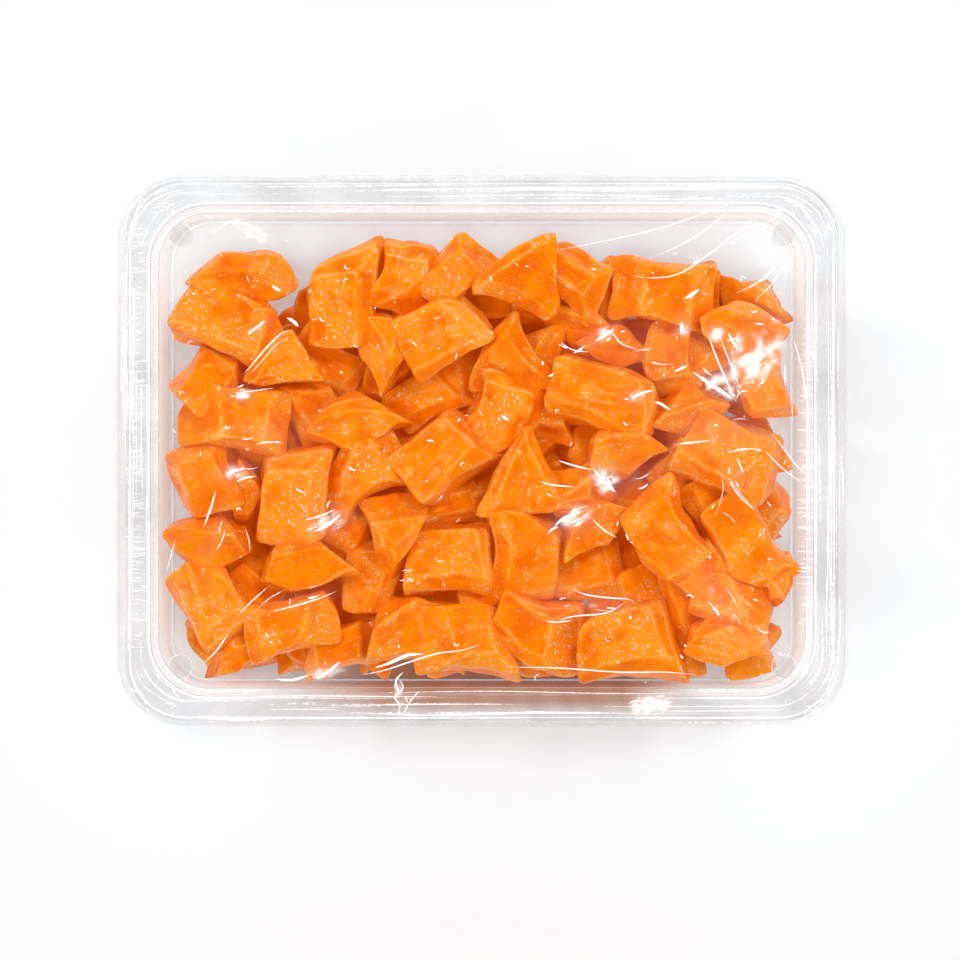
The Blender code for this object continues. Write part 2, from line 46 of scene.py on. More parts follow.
# The pack, as in its solids
PACK_LENGTH = 190.0 * MM
PACK_WIDTH = 143.5 * MM
RIM_TOP = 37.0 * MM
CORNER_RADIUS = 16.5 * MM
EDGE_GAP = 0.65 * MM
TRAY_WALL = 0.6 * MM
SKIRT_DROP = 4.5 * MM
SKIRT_FLARE = (2.4 * MM, 1.4 * MM)
FLANGE_WIDTH = 6.2 * MM
STEP_WIDTH = 1.9 * MM
STEP_DROP = 2.4 * MM
WALL_DRAFT = (3.0 * MM, 1.8 * MM)
FLOOR_TOP = 1.4 * MM
FLOOR_FILLET = 1.8 * MM
INNER_RADIUS = 13.0 * MM
PANEL_INSET = 18.0 * MM
PANEL_SLOPE = 1.5 * MM
PANEL_RADIUS = 8.0 * MM
LUG_RADIUS = 3.3 * MM
LUG_HEIGHT = 2.6 * MM
LUG_INSET = 2.5 * MM
LIP_WIDTH = 15.0 * MM
TRAY_COLUMNS = 150
TRAY_ROWS = 116
TRAY_ARC = 28
LUG_SIDES = 48

# The grid on which the distance from the heap is spread, seen from above
NEAR_CELL = 1.5 * MM
NEAR_HALF = (97 * MM, 75 * MM)
NEAR_GRID = (130, 100)
NEAR_STEPS = 9
NEAR_FADE = 0.84

# The stretch of the lower side where the heap's orange is painted on as a reflection: where that
# begins and is full
REFLECTION_FROM_EDGE = (-69.5 * MM, -63.5 * MM)
REFLECTION_FROM_MIDDLE = (-50.0 * MM, -56.0 * MM)
REFLECTION_FROM_LEFT = (-62.0 * MM, -16.0 * MM)
REFLECTION_FROM_RIGHT = (-58.0 * MM, -34.0 * MM)
# Below this height the tray's floor near the heap gets painted orange light
ORANGE_ON_FLOOR_BELOW = 5.0 * MM

# The photograph's view from straight above
VIEW_CENTRE = (482.0, 450.6)
VIEW_SCALE = 0.2589 * MM
VIEW_SIZE = 960
CAMERA_HEIGHT = 1.5
SENSOR_WIDTH = 36.0

# Studio
TENT_LIGHT = 0.875
ZENITH_LIGHT = 0.03
TENT_OPENING = (0.82, 0.95)
LIGHT_DISTANCE = 1.1
FLOOR_HALF = 3
FLOOR_GAP = 0.0003
# Each softbox: name, azimuth, angle from the zenith, size in metres, and radiance
SOFTBOXES = (
    ("key", 60, 32, (0.26, 0.24), 13.5),
    ("side", 172, 38, (0.14, 0.42), 10.8),
    ("front", -60, 44, (0.4, 0.1), 7.2),
)
GLOW_HALF = (0.07, 0.047)
GLOW_FADE = (0.02, 0.085)

# Candies
CANDY_CLEARANCE = 0.9 * MM
CORNER_BY_LUGS = 26.0 * MM
LUGS_BEGIN = 9.0 * MM
EDGE_SHARPNESS = 14.0
ROUNDED_SHARPNESS = 12.5
ROUNDED_GROWTH = 1.028
THICKNESS_SHARE = 0.66
THINNEST = 9.5 * MM
THICKEST = 13.5 * MM
TILT_DEGREES = 9.0
SHOWN_GRID = 21
UNDER_GRID = 10
CORE_GRID = 30
FINE_GRID_POINTS = 2000
SKIN_SWELL = 0.34 * MM
SKIN_WAVES = (6 * MM, 12 * MM)
GRAIN_SWELL = 0.05 * MM
GRAIN_WAVES = (2.2 * MM, 4.0 * MM)
FACE_SINK = 0.95 * MM
FROST_OF_FACES = (0.0, 0.0, 0.35, 0.7, 1.0)

# The candies that show: form, column and row of the middle in the view, length and width in mm,
# turn in degrees, and height of the top in mm
SHOWN = (
    ("slab", 325, 362, 20, 14, -35, 30.5),
    ("slab", 312, 410, 20, 16, -60, 31.5),
    ("slab", 425, 398, 19, 14, 40, 30.0),
    ("pillow", 495, 300, 17, 13, 10, 28.0),
    ("boat", 577, 320, 21, 14, -10, 31.5),
    ("boat", 548, 348, 19, 13, 70, 30.5),
    ("pillow", 552, 408, 17, 12, 80, 30.5),
    ("slab", 685, 462, 19, 14, 50, 29.5),
    ("slab", 714, 507, 18, 14, -50, 31.0),
    ("boat", 243, 493, 16, 11, 85, 32.5),
    ("slab", 445, 500, 20, 16, 20, 29.5),
    ("pillow", 345, 530, 18, 13, 60, 29.5),
    ("boat", 238, 655, 16, 12, 35, 31.5),
    ("pillow", 337, 661, 20, 12, 12, 31.5),
    ("slab", 262, 592, 18, 13, -20, 30.0),
    ("slab", 500, 606, 18, 14, 20, 30.5),
    ("slab", 585, 573, 21, 16, 10, 30.5),
    ("slab", 690, 607, 20, 13, -70, 33.0),
    ("pillow", 640, 590, 18, 13, 15, 30.0),
    ("slab", 700, 352, 18, 14, 35, 31.5),
    ("slab", 368, 578, 20, 16, 80, 32.5),
    ("slab", 575, 276, 18, 15, -30, 34.5),
    ("slab", 505, 412, 22, 19, 70, 34.0),
    ("slab", 403, 278, 18, 17, 75, 36.5),
    ("boat", 617, 348, 19, 12, -10, 34.5),
    ("pillow", 669, 356, 19, 15, -80, 35.0),
    ("boat", 695, 413, 22, 15, 10, 35.5),
    ("slab", 211, 380, 19, 15, 55, 35.5),
    ("wedge", 270, 371, 22, 17, 31, 37.0),
    ("slab", 232, 323, 28, 18, -18, 36.5),
    ("boat", 251, 279, 33, 13.5, 2, 38.5),
    ("slab", 342, 299, 23, 19, 98, 38.5),
    ("boat", 381, 345, 24, 14, -78, 38.0),
    ("pillow", 450, 276, 23, 14, 49, 38.0),
    ("wedge", 511, 350, 21, 26, -88, 36.5),
    ("wedge", 514, 280, 22, 27, 4, 39.0),
    ("slab", 441, 333, 22, 19, 35, 38.5),
    ("pillow", 661, 291, 29, 18, -8, 39.0),
    ("boat", 744, 328, 26, 14, -5, 38.0),
    ("pillow", 764, 380, 23, 14, -78, 37.5),
    ("slab", 727, 456, 27, 19, -20, 38.0),
    ("pillow", 230, 417, 31, 19, -8, 38.5),
    ("boat", 354, 422, 26, 17, 9, 38.0),
    ("slab", 606, 399, 27, 18, -11, 37.5),
    ("slab", 197, 476, 20, 15, 115, 36.5),
    ("slab", 294, 496, 25, 19, 94, 38.5),
    ("pillow", 361, 471, 24, 18, 30, 37.0),
    ("slab", 444, 456, 23, 19, 42, 39.0),
    ("wedge", 525, 469, 23, 26, -88, 39.0),
    ("slab", 578, 488, 16, 13, 20, 35.0),
    ("boat", 621, 451, 24, 17, 14, 37.5),
    ("slab", 452, 561, 22, 18, 5, 36.0),
    ("wedge", 391, 535, 25, 23, 84, 39.0),
    ("boat", 596, 526, 22, 18, 30, 38.0),
    ("boat", 210, 542, 26, 16, -4, 38.5),
    ("slab", 209, 600, 21, 17, -58, 37.0),
    ("boat", 299, 566, 28, 15, 4, 38.0),
    ("slab", 525, 557, 26, 19, -83, 39.0),
    ("pillow", 668, 538, 29, 18, -55, 39.5),
    ("slab", 713, 582, 21, 15, -40, 37.0),
    ("pillow", 765, 543, 28, 16, -61, 38.5),
    ("wedge", 776, 583, 15, 14, 100, 36.0),
    ("slab", 750, 621, 20, 15, -20, 36.0),
    ("boat", 731, 656, 24, 13, -5, 37.0),
    ("slab", 536, 630, 22, 18, -15, 36.5),
    ("pillow", 294, 625, 27, 15, 14, 37.5),
    ("boat", 405, 627, 28, 18, 32, 39.0),
    ("slab", 459, 653, 25, 19, 8, 38.5),
    ("slab", 628, 648, 25, 19, 12, 38.5),
)

# The layers under them, on a loose grid
UNDER_COLUMNS = 8
UNDER_ROWS = 6
UNDER_ENDS = (-66.0 * MM, 69.0 * MM)
UNDER_SIDES = (-54.5 * MM, 38.5 * MM)
UNDER_TOPS = (14.5 * MM, 27.0 * MM)
UNDER_JITTER = 1.8 * MM
UNDER_LENGTHS = (19, 24)
UNDER_WIDTHS = (14, 18)
UNDER_SEED = 41

# The middle of the heap
CORE_ENDS = (-60.0 * MM, 61.0 * MM)
CORE_SIDES = (-49.0 * MM, 35.0 * MM)
CORE_MIDDLE = 14.0 * MM
CORE_HALF = 9.0 * MM
CORE_LUMPS = 1.6 * MM
CORE_WAVES = (9 * MM, 22 * MM)

# Film: grid of its height over the tray, and how it hangs between what holds it up
FILM_CELL = 0.75 * MM
FILM_GRID = (257, 195)
FILM_GRID_CORNER = (-96 * MM, -73 * MM)
FILM_OVER_CANDY = 0.12 * MM
FILM_OVER_FLANGE = 0.2 * MM
FILM_PULL = 0.0009 * MM
FILM_ROUNDS = 260
FILM_LOWEST = RIM_TOP + 0.1 * MM
TURN_BEGINS = (92.0 * MM, 70.0 * MM)
TURN_REACH = (2.6 * MM, 1.5 * MM)
TURN_DROP = 2.6 * MM
MILKY_ENDS = (70 * MM, 94 * MM)
MILKY_SIDES = (56 * MM, 71 * MM)
FILM_COLUMNS = 250
FILM_ROWS = 186
FILM_ARC = 24
RUFFLE_WAVES = (2.2 * MM, 6 * MM)
RUFFLE_HEIGHT = 0.1 * MM
SAG_WAVES = (14 * MM, 34 * MM)
SAG_HEIGHT = 0.08 * MM
CREASE_SPREAD = 1.1 * MM
CRUMPLE_SWAY = 0.8 * MM
CRUMPLE_LENGTH = 1.3 * MM
CRUMPLE_WAVES = (1.8 * MM, 7 * MM)

# Fine lines of the film, white with painted highlight: how many, and in mm where the ribs of each end
# and the corners lie
RIM_LINES = 120
RIBS = ((-1, -52, 57, 85.5, 92.3), (1, -50, 34, 80.5, 86.8))
CORNER_MIDDLE = (78.4, 55.1)
CORNER_LINES = 18
GLINT_SPECKS = 150
FOLD_SPACING = 0.6 * MM
FOLD_PROFILE = ((-1.0, 0.0), (-0.55, 0.7), (0.0, 1.0), (0.55, 0.7), (1.0, 0.0))

# Creases that show in the film: half width mm, height mm, whiteness of the painted highlight along
# each, and their course
CREASES = (
    (0.16, 0.18, 0.9, (549, 252), (600, 242), (650, 231), (691, 218), (740, 200)),
    (0.16, 0.18, 0.9, (642, 261), (670, 250), (698, 235), (720, 218), (737, 204)),
    (0.2, 0.22, 1.0, (631, 276), (655, 278), (681, 273), (712, 252), (742, 230), (783, 218)),
    (0.18, 0.2, 0.9, (734, 294), (750, 287), (766, 276), (781, 258), (793, 240)),
    (0.16, 0.2, 0.8, (752, 303), (770, 286), (786, 262), (797, 248)),
    (0.24, 0.3, 1.0, (706, 330), (715, 354), (726, 380), (737, 404)),
    (0.15, 0.2, 0.9, (716, 328), (726, 353), (736, 378), (745, 398)),
    (0.3, 0.25, 0.9, (216, 490), (211, 508), (203, 530)),
    (0.16, 0.15, 0.7, (176, 538), (171, 556), (166, 575)),
    (0.18, 0.18, 0.8, (236, 617), (251, 602), (270, 585)),
    (0.15, 0.15, 0.7, (258, 608), (270, 598), (286, 589)),
    (0.2, 0.2, 0.8, (270, 612), (298, 605), (320, 598), (337, 591)),
    (0.22, 0.15, 0.9, (205, 662), (217, 650), (228, 634)),
    (0.35, 0.25, 1.0, (275, 679), (292, 680), (309, 675)),
    (0.5, 0.3, 1.0, (312, 678), (325, 674), (340, 662)),
    (0.22, 0.22, 0.9, (357, 676), (385, 670), (412, 661), (439, 653), (462, 650), (482, 644)),
    (0.45, 0.3, 1.0, (374, 668), (392, 662), (408, 655), (425, 654)),
    (0.2, 0.3, 1.0, (399, 678), (403, 688), (395, 697), (400, 706), (396, 716)),
    (0.3, 0.3, 1.0, (404, 671), (396, 681), (399, 694)),
    (0.2, 0.3, 0.9, (420, 690), (409, 703), (403, 716)),
    (0.25, 0.2, 1.0, (557, 460), (572, 465), (592, 470)),
    (0.22, 0.2, 1.0, (538, 481), (553, 485), (574, 487)),
    (0.4, 0.25, 1.0, (553, 528), (564, 518), (584, 511)),
    (0.4, 0.25, 1.0, (592, 468), (603, 480), (616, 492)),
    (0.25, 0.25, 0.9, (592, 519), (604, 530), (617, 538)),
    (0.22, 0.25, 1.0, (571, 589), (588, 595), (612, 598), (628, 599), (636, 604)),
    (0.2, 0.22, 1.0, (556, 621), (575, 616), (600, 614), (613, 610), (625, 602)),
    (0.18, 0.2, 0.9, (541, 620), (557, 622), (574, 620)),
    (0.2, 0.22, 1.0, (506, 667), (560, 668), (620, 672), (664, 672), (700, 675)),
    (0.12, 0.12, 0.6, (720, 470), (723, 488), (719, 505), (715, 517)),
    (0.12, 0.12, 0.6, (727, 475), (738, 491), (755, 510)),
    (0.12, 0.12, 0.6, (722, 512), (730, 517), (737, 525)),
    (0.24, 0.3, 0.9, (243, 375), (256, 360), (270, 344), (284, 332), (294, 332)),
    (0.14, 0.3, 0.8, (248, 377), (262, 361), (276, 345), (289, 337)),
    (0.5, 0.2, 1.0, (287, 318), (293, 321), (299, 327)),
    (0.45, 0.2, 1.0, (272, 286), (277, 289), (281, 292)),
    (0.35, 0.2, 0.9, (248, 335), (256, 328), (266, 321)),
    (0.5, 0.2, 1.0, (237, 396), (243, 396), (250, 397)),
    (0.16, 0.2, 0.8, (233, 393), (252, 391), (275, 388)),
    (0.18, 0.2, 0.8, (601, 328), (612, 333), (622, 344), (640, 350)),
    (0.4, 0.25, 1.0, (595, 341), (604, 336), (614, 329)),
    (0.5, 0.25, 1.0, (681, 322), (682, 329), (680, 335)),
    (0.55, 0.25, 1.0, (684, 299), (690, 296), (699, 289)),
    (0.6, 0.35, 1.0, (693, 372), (710, 384), (734, 400)),
    (0.4, 0.3, 1.0, (728, 333), (733, 342), (739, 351)),
    (0.4, 0.3, 1.0, (632, 399), (640, 394), (653, 390)),
    (0.4, 0.3, 1.0, (654, 402), (661, 404), (670, 410)),
    (0.4, 0.3, 1.0, (674, 372), (680, 369), (687, 366)),
    (0.35, 0.2, 1.0, (562, 346), (565, 347), (568, 348)),
    (0.4, 0.2, 0.9, (500, 415), (505, 418), (509, 421)),
    (0.16, 0.2, 0.7, (560, 342), (573, 350), (590, 352)),
    (0.14, 0.15, 0.7, (245, 527), (249, 540), (250, 553)),
    (0.5, 0.25, 1.0, (313, 532), (326, 526), (343, 513)),
    (0.25, 0.25, 0.9, (305, 520), (320, 516), (336, 509)),
    (0.4, 0.25, 0.9, (225, 474), (234, 471), (246, 468)),
    (0.3, 0.2, 0.8, (236, 482), (245, 478), (256, 476)),
    (0.2, 0.2, 0.8, (792, 335), (800, 362), (806, 396), (809, 430)),
    (0.16, 0.2, 0.7, (800, 330), (812, 352), (819, 388)),
    (0.16, 0.2, 0.8, (770, 430), (786, 452), (801, 470), (821, 482)),
    (0.16, 0.2, 0.8, (762, 448), (782, 468), (806, 486)),
    (0.2, 0.2, 0.7, (727, 478), (740, 497), (757, 512)),
    (0.5, 0.2, 0.4, (226, 220), (248, 226), (272, 240)),
    (0.2, 0.2, 0.6, (206, 240), (222, 226), (246, 218)),
    (0.5, 0.25, 0.9, (630, 705), (650, 706), (672, 702)),
    (0.35, 0.25, 0.9, (640, 698), (652, 700), (664, 712)),
    (0.5, 0.2, 0.8, (190, 716), (240, 719), (300, 717)),
)

# Places where the film is crumpled and given painted glare and glints: column, row, reach, turn,
# strength
GLARE = (
    (753, 362, 44, 27, 38, 1.15),
    (737, 340, 13, 10, 10, 1.0),
    (716, 334, 11, 9, -35, 1.0),
    (720, 387, 26, 14, -35, 1.1),
    (735, 475, 12, 22, 30, 0.4),
    (234, 472, 22, 10, 10, 0.85),
    (240, 394, 15, 8, 0, 0.85),
    (258, 328, 16, 6, 30, 0.6),
    (328, 523, 24, 12, 25, 0.9),
    (606, 480, 16, 20, 45, 1.0),
    (574, 518, 26, 15, 25, 1.0),
    (637, 397, 14, 9, 0, 0.8),
    (650, 705, 27, 14, 0, 1.2),
    (601, 336, 22, 9, 30, 0.9),
    (682, 328, 9, 13, 0, 0.85),
    (596, 605, 36, 12, -4, 0.5),
    (325, 672, 30, 9, 10, 0.8),
    (252, 230, 40, 10, -28, 0.85),
    (215, 535, 9, 40, -20, 0.3),
    (770, 262, 12, 40, -40, 0.15),
    (300, 600, 34, 9, 15, 0.3),
    (400, 696, 9, 22, 0, 0.6),
    (792, 400, 9, 60, 0, 0.35),
    (720, 600, 48, 26, -52, 0.5),
    (765, 640, 30, 12, -35, 0.45),
    (630, 480, 42, 16, 20, 0.4),
    (720, 430, 60, 26, 5, 0.45),
    (650, 350, 60, 30, 0, 0.3),
    (560, 600, 30, 20, 10, 0.3),
    (270, 440, 50, 24, 10, 0.25),
    (770, 320, 26, 14, 0, 0.5),
)


def from_view(column, row):
    """The place on the pack of a point of the view, in metres."""
    return (column - VIEW_CENTRE[0]) * VIEW_SCALE, (VIEW_CENTRE[1] - row) * VIEW_SCALE


# The tray's plan at any height


def tray_half(inset_x, inset_y):
    """Half length and half width of the tray at insets from its skirt's edge."""
    return PACK_LENGTH / 2 - EDGE_GAP - inset_x, PACK_WIDTH / 2 - EDGE_GAP - inset_y


def wall_half(height):
    """Half length and half width of the tray's inside at a height, or at many."""
    top = RIM_TOP - STEP_DROP
    bottom = FLOOR_TOP + FLOOR_FILLET
    depth = (top - height) / (top - bottom)
    inset_x = SKIRT_FLARE[0] + FLANGE_WIDTH + STEP_WIDTH + WALL_DRAFT[0] * depth
    inset_y = SKIRT_FLARE[1] + FLANGE_WIDTH + STEP_WIDTH + WALL_DRAFT[1] * depth
    return tray_half(inset_x, inset_y)


# The candies


def facet(normal, point):
    """A plane through a point, as its unit normal and its distance from the candy's middle."""
    normal = Vector(normal).normalized()
    return normal, normal.dot(Vector(point))


def pillow_facets(a, b, c):
    """A length of rope cut with a squeeze: both ends pinched to a level lip."""
    facets = [facet((0, 0, side), (0, 0, side * c)) for side in (-1, 1)]
    for side in (-1, 1):
        for up in (-1, 1):
            facets.append(facet((side * 0.74, 0, up * 0.67), (side * a, 0, up * 0.12 * c)))
            facets.append(facet((0, side, up * 0.3), (0, side * b, 0)))
    return facets


def wedge_facets(a, b, c):
    """Cut with a half turn: an upright edge at one end and a wide level edge at the other."""
    tip = 0.14 * b
    lip = 0.42 * c
    facets = [facet((1, 0, 0), (a, 0, 0)), facet((-1, 0, 0), (-a, 0, 0))]
    for side in (-1, 1):
        facets.append(facet((tip - b, side * 2 * a, 0), (a, side * b, 0)))
        facets.append(facet((c - lip, 0, side * 2 * a), (a, 0, side * lip)))
        facets.append(facet((-0.3, side * 0.6, 0.8), (0.2 * a, side * 0.42 * b, 0.72 * c)))
    return facets


def boat_facets(a, b, c):
    """Pointed at both ends, with a ridge along the top nearer to one side."""
    facets = [
        facet((0, 0.78, 0.62), (0, 0.35 * b, c)),
        facet((0, -0.4, 0.92), (0, 0.35 * b, c)),
        facet((0, 0, -1), (0, 0, -0.9 * c)),
    ]
    for side in (-1, 1):
        facets.append(facet((0, side, 0.1), (0, side * b, 0)))
        for end in (-1, 1):
            facets.append(facet((end * 0.52, side * 0.85, 0.1), (end * a, side * 0.12 * b, 0)))
    return facets


def slab_facets(a, b, c):
    """A four-sided block with leaning sides and bevelled upper edges."""
    return [
        facet((1, 0.14, 0.16), (a, 0, 0)),
        facet((-1, 0.1, -0.12), (-a, 0, 0)),
        facet((0.1, 1, 0.2), (0, b, 0)),
        facet((-0.14, -1, 0.12), (0, -b, 0)),
        facet((0.06, 0.1, 1), (0, 0, c)),
        facet((0, 0, -1), (0, 0, -c)),
        facet((0.62, 0.1, 0.78), (0.74 * a, 0, 0.8 * c)),
        facet((0, -0.6, 0.8), (0, -0.7 * b, 0.85 * c)),
    ]


KINDS = {
    "pillow": pillow_facets,
    "wedge": wedge_facets,
    "boat": boat_facets,
    "slab": slab_facets,
}


def reach(facets, direction):
    """How far a candy of these facets reaches from its middle, its edges a little rounded."""
    total = 0.0
    for normal, distance in facets:
        total += max(0.0, normal.dot(direction) / distance) ** EDGE_SHARPNESS
    return total ** (-1.0 / EDGE_SHARPNESS)


def uneven(facets, chance):
    """The same facets, none quite where the pattern has it, and two corners knocked off."""
    changed = []
    for normal, distance in facets:
        wobble = Vector([chance.gauss(0, 0.05) for _ in range(3)])
        changed.append(((normal + wobble).normalized(), distance * chance.uniform(0.95, 1.02)))
    for _ in range(2):
        corner = Vector([chance.gauss(0, 1) for _ in range(3)]).normalized()
        changed.append((corner, 0.9 * reach(changed, corner)))
    return changed


def cube_grid(cells):
    """Points and faces of a cube's surface, each side a grid: (points from -1 to 1, faces)."""
    steps = np.tan(np.linspace(-math.pi / 4, math.pi / 4, cells + 1))
    index = {}
    points = []
    faces = []
    sides = ((0, 1, 2, 1), (0, 2, 1, -1), (1, 2, 0, 1), (1, 0, 2, -1), (2, 0, 1, 1), (2, 1, 0, -1))

    def number(place):
        key = tuple(round(value * 1e6) for value in place)
        if key not in index:
            index[key] = len(points)
            points.append(place)
        return index[key]

    for along, first, second, sign in sides:
        corner = np.empty((cells + 1, cells + 1), int)
        for i in range(cells + 1):
            for j in range(cells + 1):
                place = [0.0, 0.0, 0.0]
                place[along] = float(sign)
                place[first] = float(steps[i])
                place[second] = float(steps[j])
                corner[i, j] = number(tuple(place))
        for i in range(cells):
            for j in range(cells):
                faces.append((corner[i, j], corner[i + 1, j], corner[i + 1, j + 1], corner[i, j + 1]))
    return np.array(points), np.array(faces)


def smooth(low, high, value):
    """0 up to the low value and 1 from the high one, with no kink between them."""
    t = np.clip((value - low) / (high - low), 0.0, 1.0)
    return t * t * (3 - 2 * t)


def ripples(points, chance, count, shortest, longest, lengthwise=1.0):
    """A few waves laid over each other: an uneven surface without a pattern, about -1 to 1."""
    total = np.zeros(len(points))
    for _ in range(count):
        way = Vector([chance.gauss(0, 1) for _ in range(3)])
        way.x *= lengthwise
        way = np.array(way.normalized()) * (2 * math.pi / chance.uniform(shortest, longest))
        total += np.sin(points @ way + chance.uniform(0, 2 * math.pi))
    return total / math.sqrt(count)


def pinch(kind, points, a, b, chance):
    """Draws the ends of a candy in, as the cut squeezes the soft rope, and twists the rest."""
    strength = chance.uniform(0.7, 1.15)
    u = points[:, 0] / a
    near_end = smooth(0.3, 1.0, np.abs(u))
    ahead = smooth(0.1, 1.0, u)
    behind = smooth(0.1, 1.0, -u)
    if kind == "pillow":
        points[:, 2] *= 1 - 0.45 * strength * near_end
        points[:, 1] *= 0.9 + 0.24 * strength * near_end
    elif kind == "wedge":
        points[:, 2] *= 1 - 0.4 * strength * ahead
        points[:, 1] *= 1 - 0.3 * strength * behind
        points[:, 1] *= 0.94 + 0.16 * strength * ahead
    elif kind == "boat":
        points[:, 2] *= 1 - 0.35 * strength * near_end
        points[:, 1] *= 1 - 0.25 * strength * ahead
        points[:, 1] *= 1 + 0.1 * strength * behind
    else:
        points[:, 2] *= 1 - 0.34 * strength * ahead - 0.12 * behind
        points[:, 1] *= 0.95 + 0.1 * strength * ahead + 0.05 * behind
    points[:, 1] += chance.uniform(-0.18, 0.18) * b * (2.2 * u**2 - 0.7)
    twist = chance.uniform(-0.3, 0.3) * u
    y, z = points[:, 1].copy(), points[:, 2].copy()
    points[:, 1] = y * np.cos(twist) - z * np.sin(twist)
    points[:, 2] = y * np.sin(twist) + z * np.cos(twist)


def clear_of_tray(points):
    """The move that brings a candy's points clear of the tray's wall."""
    move = np.zeros(3)
    near_lugs = points[:, 2] > RIM_TOP - LUGS_BEGIN
    radius = np.where(near_lugs, CORNER_BY_LUGS, INNER_RADIUS)
    half_x, half_y = wall_half(points[:, 2])
    for _ in range(6):
        place = points + move
        over_x = np.maximum(0, np.abs(place[:, 0]) - (half_x - CANDY_CLEARANCE - radius))
        over_y = np.maximum(0, np.abs(place[:, 1]) - (half_y - CANDY_CLEARANCE - radius))
        past = np.hypot(over_x, over_y)
        worst = int(np.argmax(past - radius))
        if past[worst] <= radius[worst]:
            break
        share = 1 - radius[worst] / past[worst]
        move[0] -= math.copysign(over_x[worst] * share, place[worst, 0])
        move[1] -= math.copysign(over_y[worst] * share, place[worst, 1])
    return move


def candy(kind, x, y, length, width, turn, top, seed, grid_points):
    """A candy's points in their place, its own lengthwise coordinates, and its ridges and frost."""
    chance = random.Random(seed)
    grid_fine = len(grid_points) > FINE_GRID_POINTS
    thickness = min(THICKEST, max(THINNEST, THICKNESS_SHARE * width))
    a, b, c = length / 2, width / 2, thickness / 2
    facets = uneven(KINDS[kind](a, b, c), chance)
    tilt = math.radians(TILT_DEGREES)
    turned = Euler((chance.uniform(-tilt, tilt), chance.uniform(-tilt, tilt), turn)).to_matrix()
    rays = grid_points * np.array((a, b, c))
    rays /= np.linalg.norm(rays, axis=1)[:, None]
    normals = np.array([normal for normal, _ in facets])
    distances = np.array([distance for _, distance in facets])
    share = np.maximum(0.0, rays @ normals.T / distances)
    out = (share**ROUNDED_SHARPNESS).sum(axis=1) ** (-1.0 / ROUNDED_SHARPNESS) * ROUNDED_GROWTH
    ranked = np.sort(share, axis=1)
    ridge = ranked[:, -2] / ranked[:, -1]
    frost_of_face = np.array([chance.choice(FROST_OF_FACES) for _ in facets])
    weight = share**24
    frost = weight @ frost_of_face / weight.sum(axis=1)
    points = rays * out[:, None]
    # Faces sink between their edges as the sugar cools, and the skin is a little uneven
    swell = SKIN_SWELL * ripples(points, chance, 6, *SKIN_WAVES)
    if grid_fine:
        swell += GRAIN_SWELL * ripples(points, chance, 8, *GRAIN_WAVES, 0.15)
    swell -= FACE_SINK * smooth(0.02, 0.6, 1 - ridge)
    points = points + rays * swell[:, None]
    pinch(kind, points, a, b, chance)
    own = points.copy()
    points = points @ np.array(turned).T
    points += (x, y, top - points[:, 2].max())
    points += clear_of_tray(points)
    own += (chance.uniform(0, 1), chance.uniform(0, 1), chance.uniform(0, 1))
    tint = np.full(len(points), chance.random())
    # Ridge nearness, frost and a tone for each piece: the ridge gives the painted glow and highlight
    # line at the edges
    return points, own, np.stack((ridge, frost, tint), axis=1)


def shown_candies():
    """The candies that show, each as the arguments of candy."""
    places = []
    for index, (kind, column, row, length, width, turn, top) in enumerate(SHOWN):
        x, y = from_view(column, row)
        size = (length * MM, width * MM)
        places.append((kind, x, y, *size, math.radians(turn), top * MM, 100 + index))
    return places


def under_candies():
    """Two layers on a loose grid, the second shifted by a quarter step."""
    chance = random.Random(UNDER_SEED)
    kinds = sorted(KINDS)
    places = []
    for layer, top in enumerate(UNDER_TOPS):
        shift = 0.25 if layer else 0.0
        for column in range(UNDER_COLUMNS):
            for row in range(UNDER_ROWS):
                across = (column + shift) / (UNDER_COLUMNS - 1 + 0.25)
                along = (row + shift) / (UNDER_ROWS - 1 + 0.25)
                x = UNDER_ENDS[0] + (UNDER_ENDS[1] - UNDER_ENDS[0]) * across
                y = UNDER_SIDES[0] + (UNDER_SIDES[1] - UNDER_SIDES[0]) * along
                x += chance.uniform(-UNDER_JITTER, UNDER_JITTER)
                y += chance.uniform(-UNDER_JITTER, UNDER_JITTER)
                length = chance.uniform(*UNDER_LENGTHS) * MM
                width = chance.uniform(*UNDER_WIDTHS) * MM
                turn = chance.uniform(-math.pi, math.pi)
                kind = kinds[chance.randrange(len(kinds))]
                seed = 1000 + 100 * layer + column * UNDER_ROWS + row
                places.append((kind, x, y, length, width, turn, top, seed))
    return places


def mesh_object(name, points, faces, attributes=None):
    """A smooth-shaded object with its own mesh, and with vectors on its points for the finish."""
    mesh = bpy.data.meshes.new(name)
    faces = np.asarray(faces)
    mesh.vertices.add(len(points))
    mesh.vertices.foreach_set("co", np.asarray(points, float).ravel())
    sides = faces.shape[1]
    mesh.loops.add(faces.size)
    mesh.loops.foreach_set("vertex_index", faces.ravel().astype(np.int32))
    mesh.polygons.add(len(faces))
    mesh.polygons.foreach_set("loop_start", np.arange(len(faces), dtype=np.int32) * sides)
    mesh.update(calc_edges=True)
    mesh.validate()
    for label, values in (attributes or {}).items():
        made = mesh.attributes.new(label, "FLOAT_VECTOR", "POINT")
        made.data.foreach_set("vector", np.asarray(values, float).ravel())
    mesh.shade_smooth()
    thing = bpy.data.objects.new(name, mesh)
    bpy.context.scene.collection.objects.link(thing)
    return thing


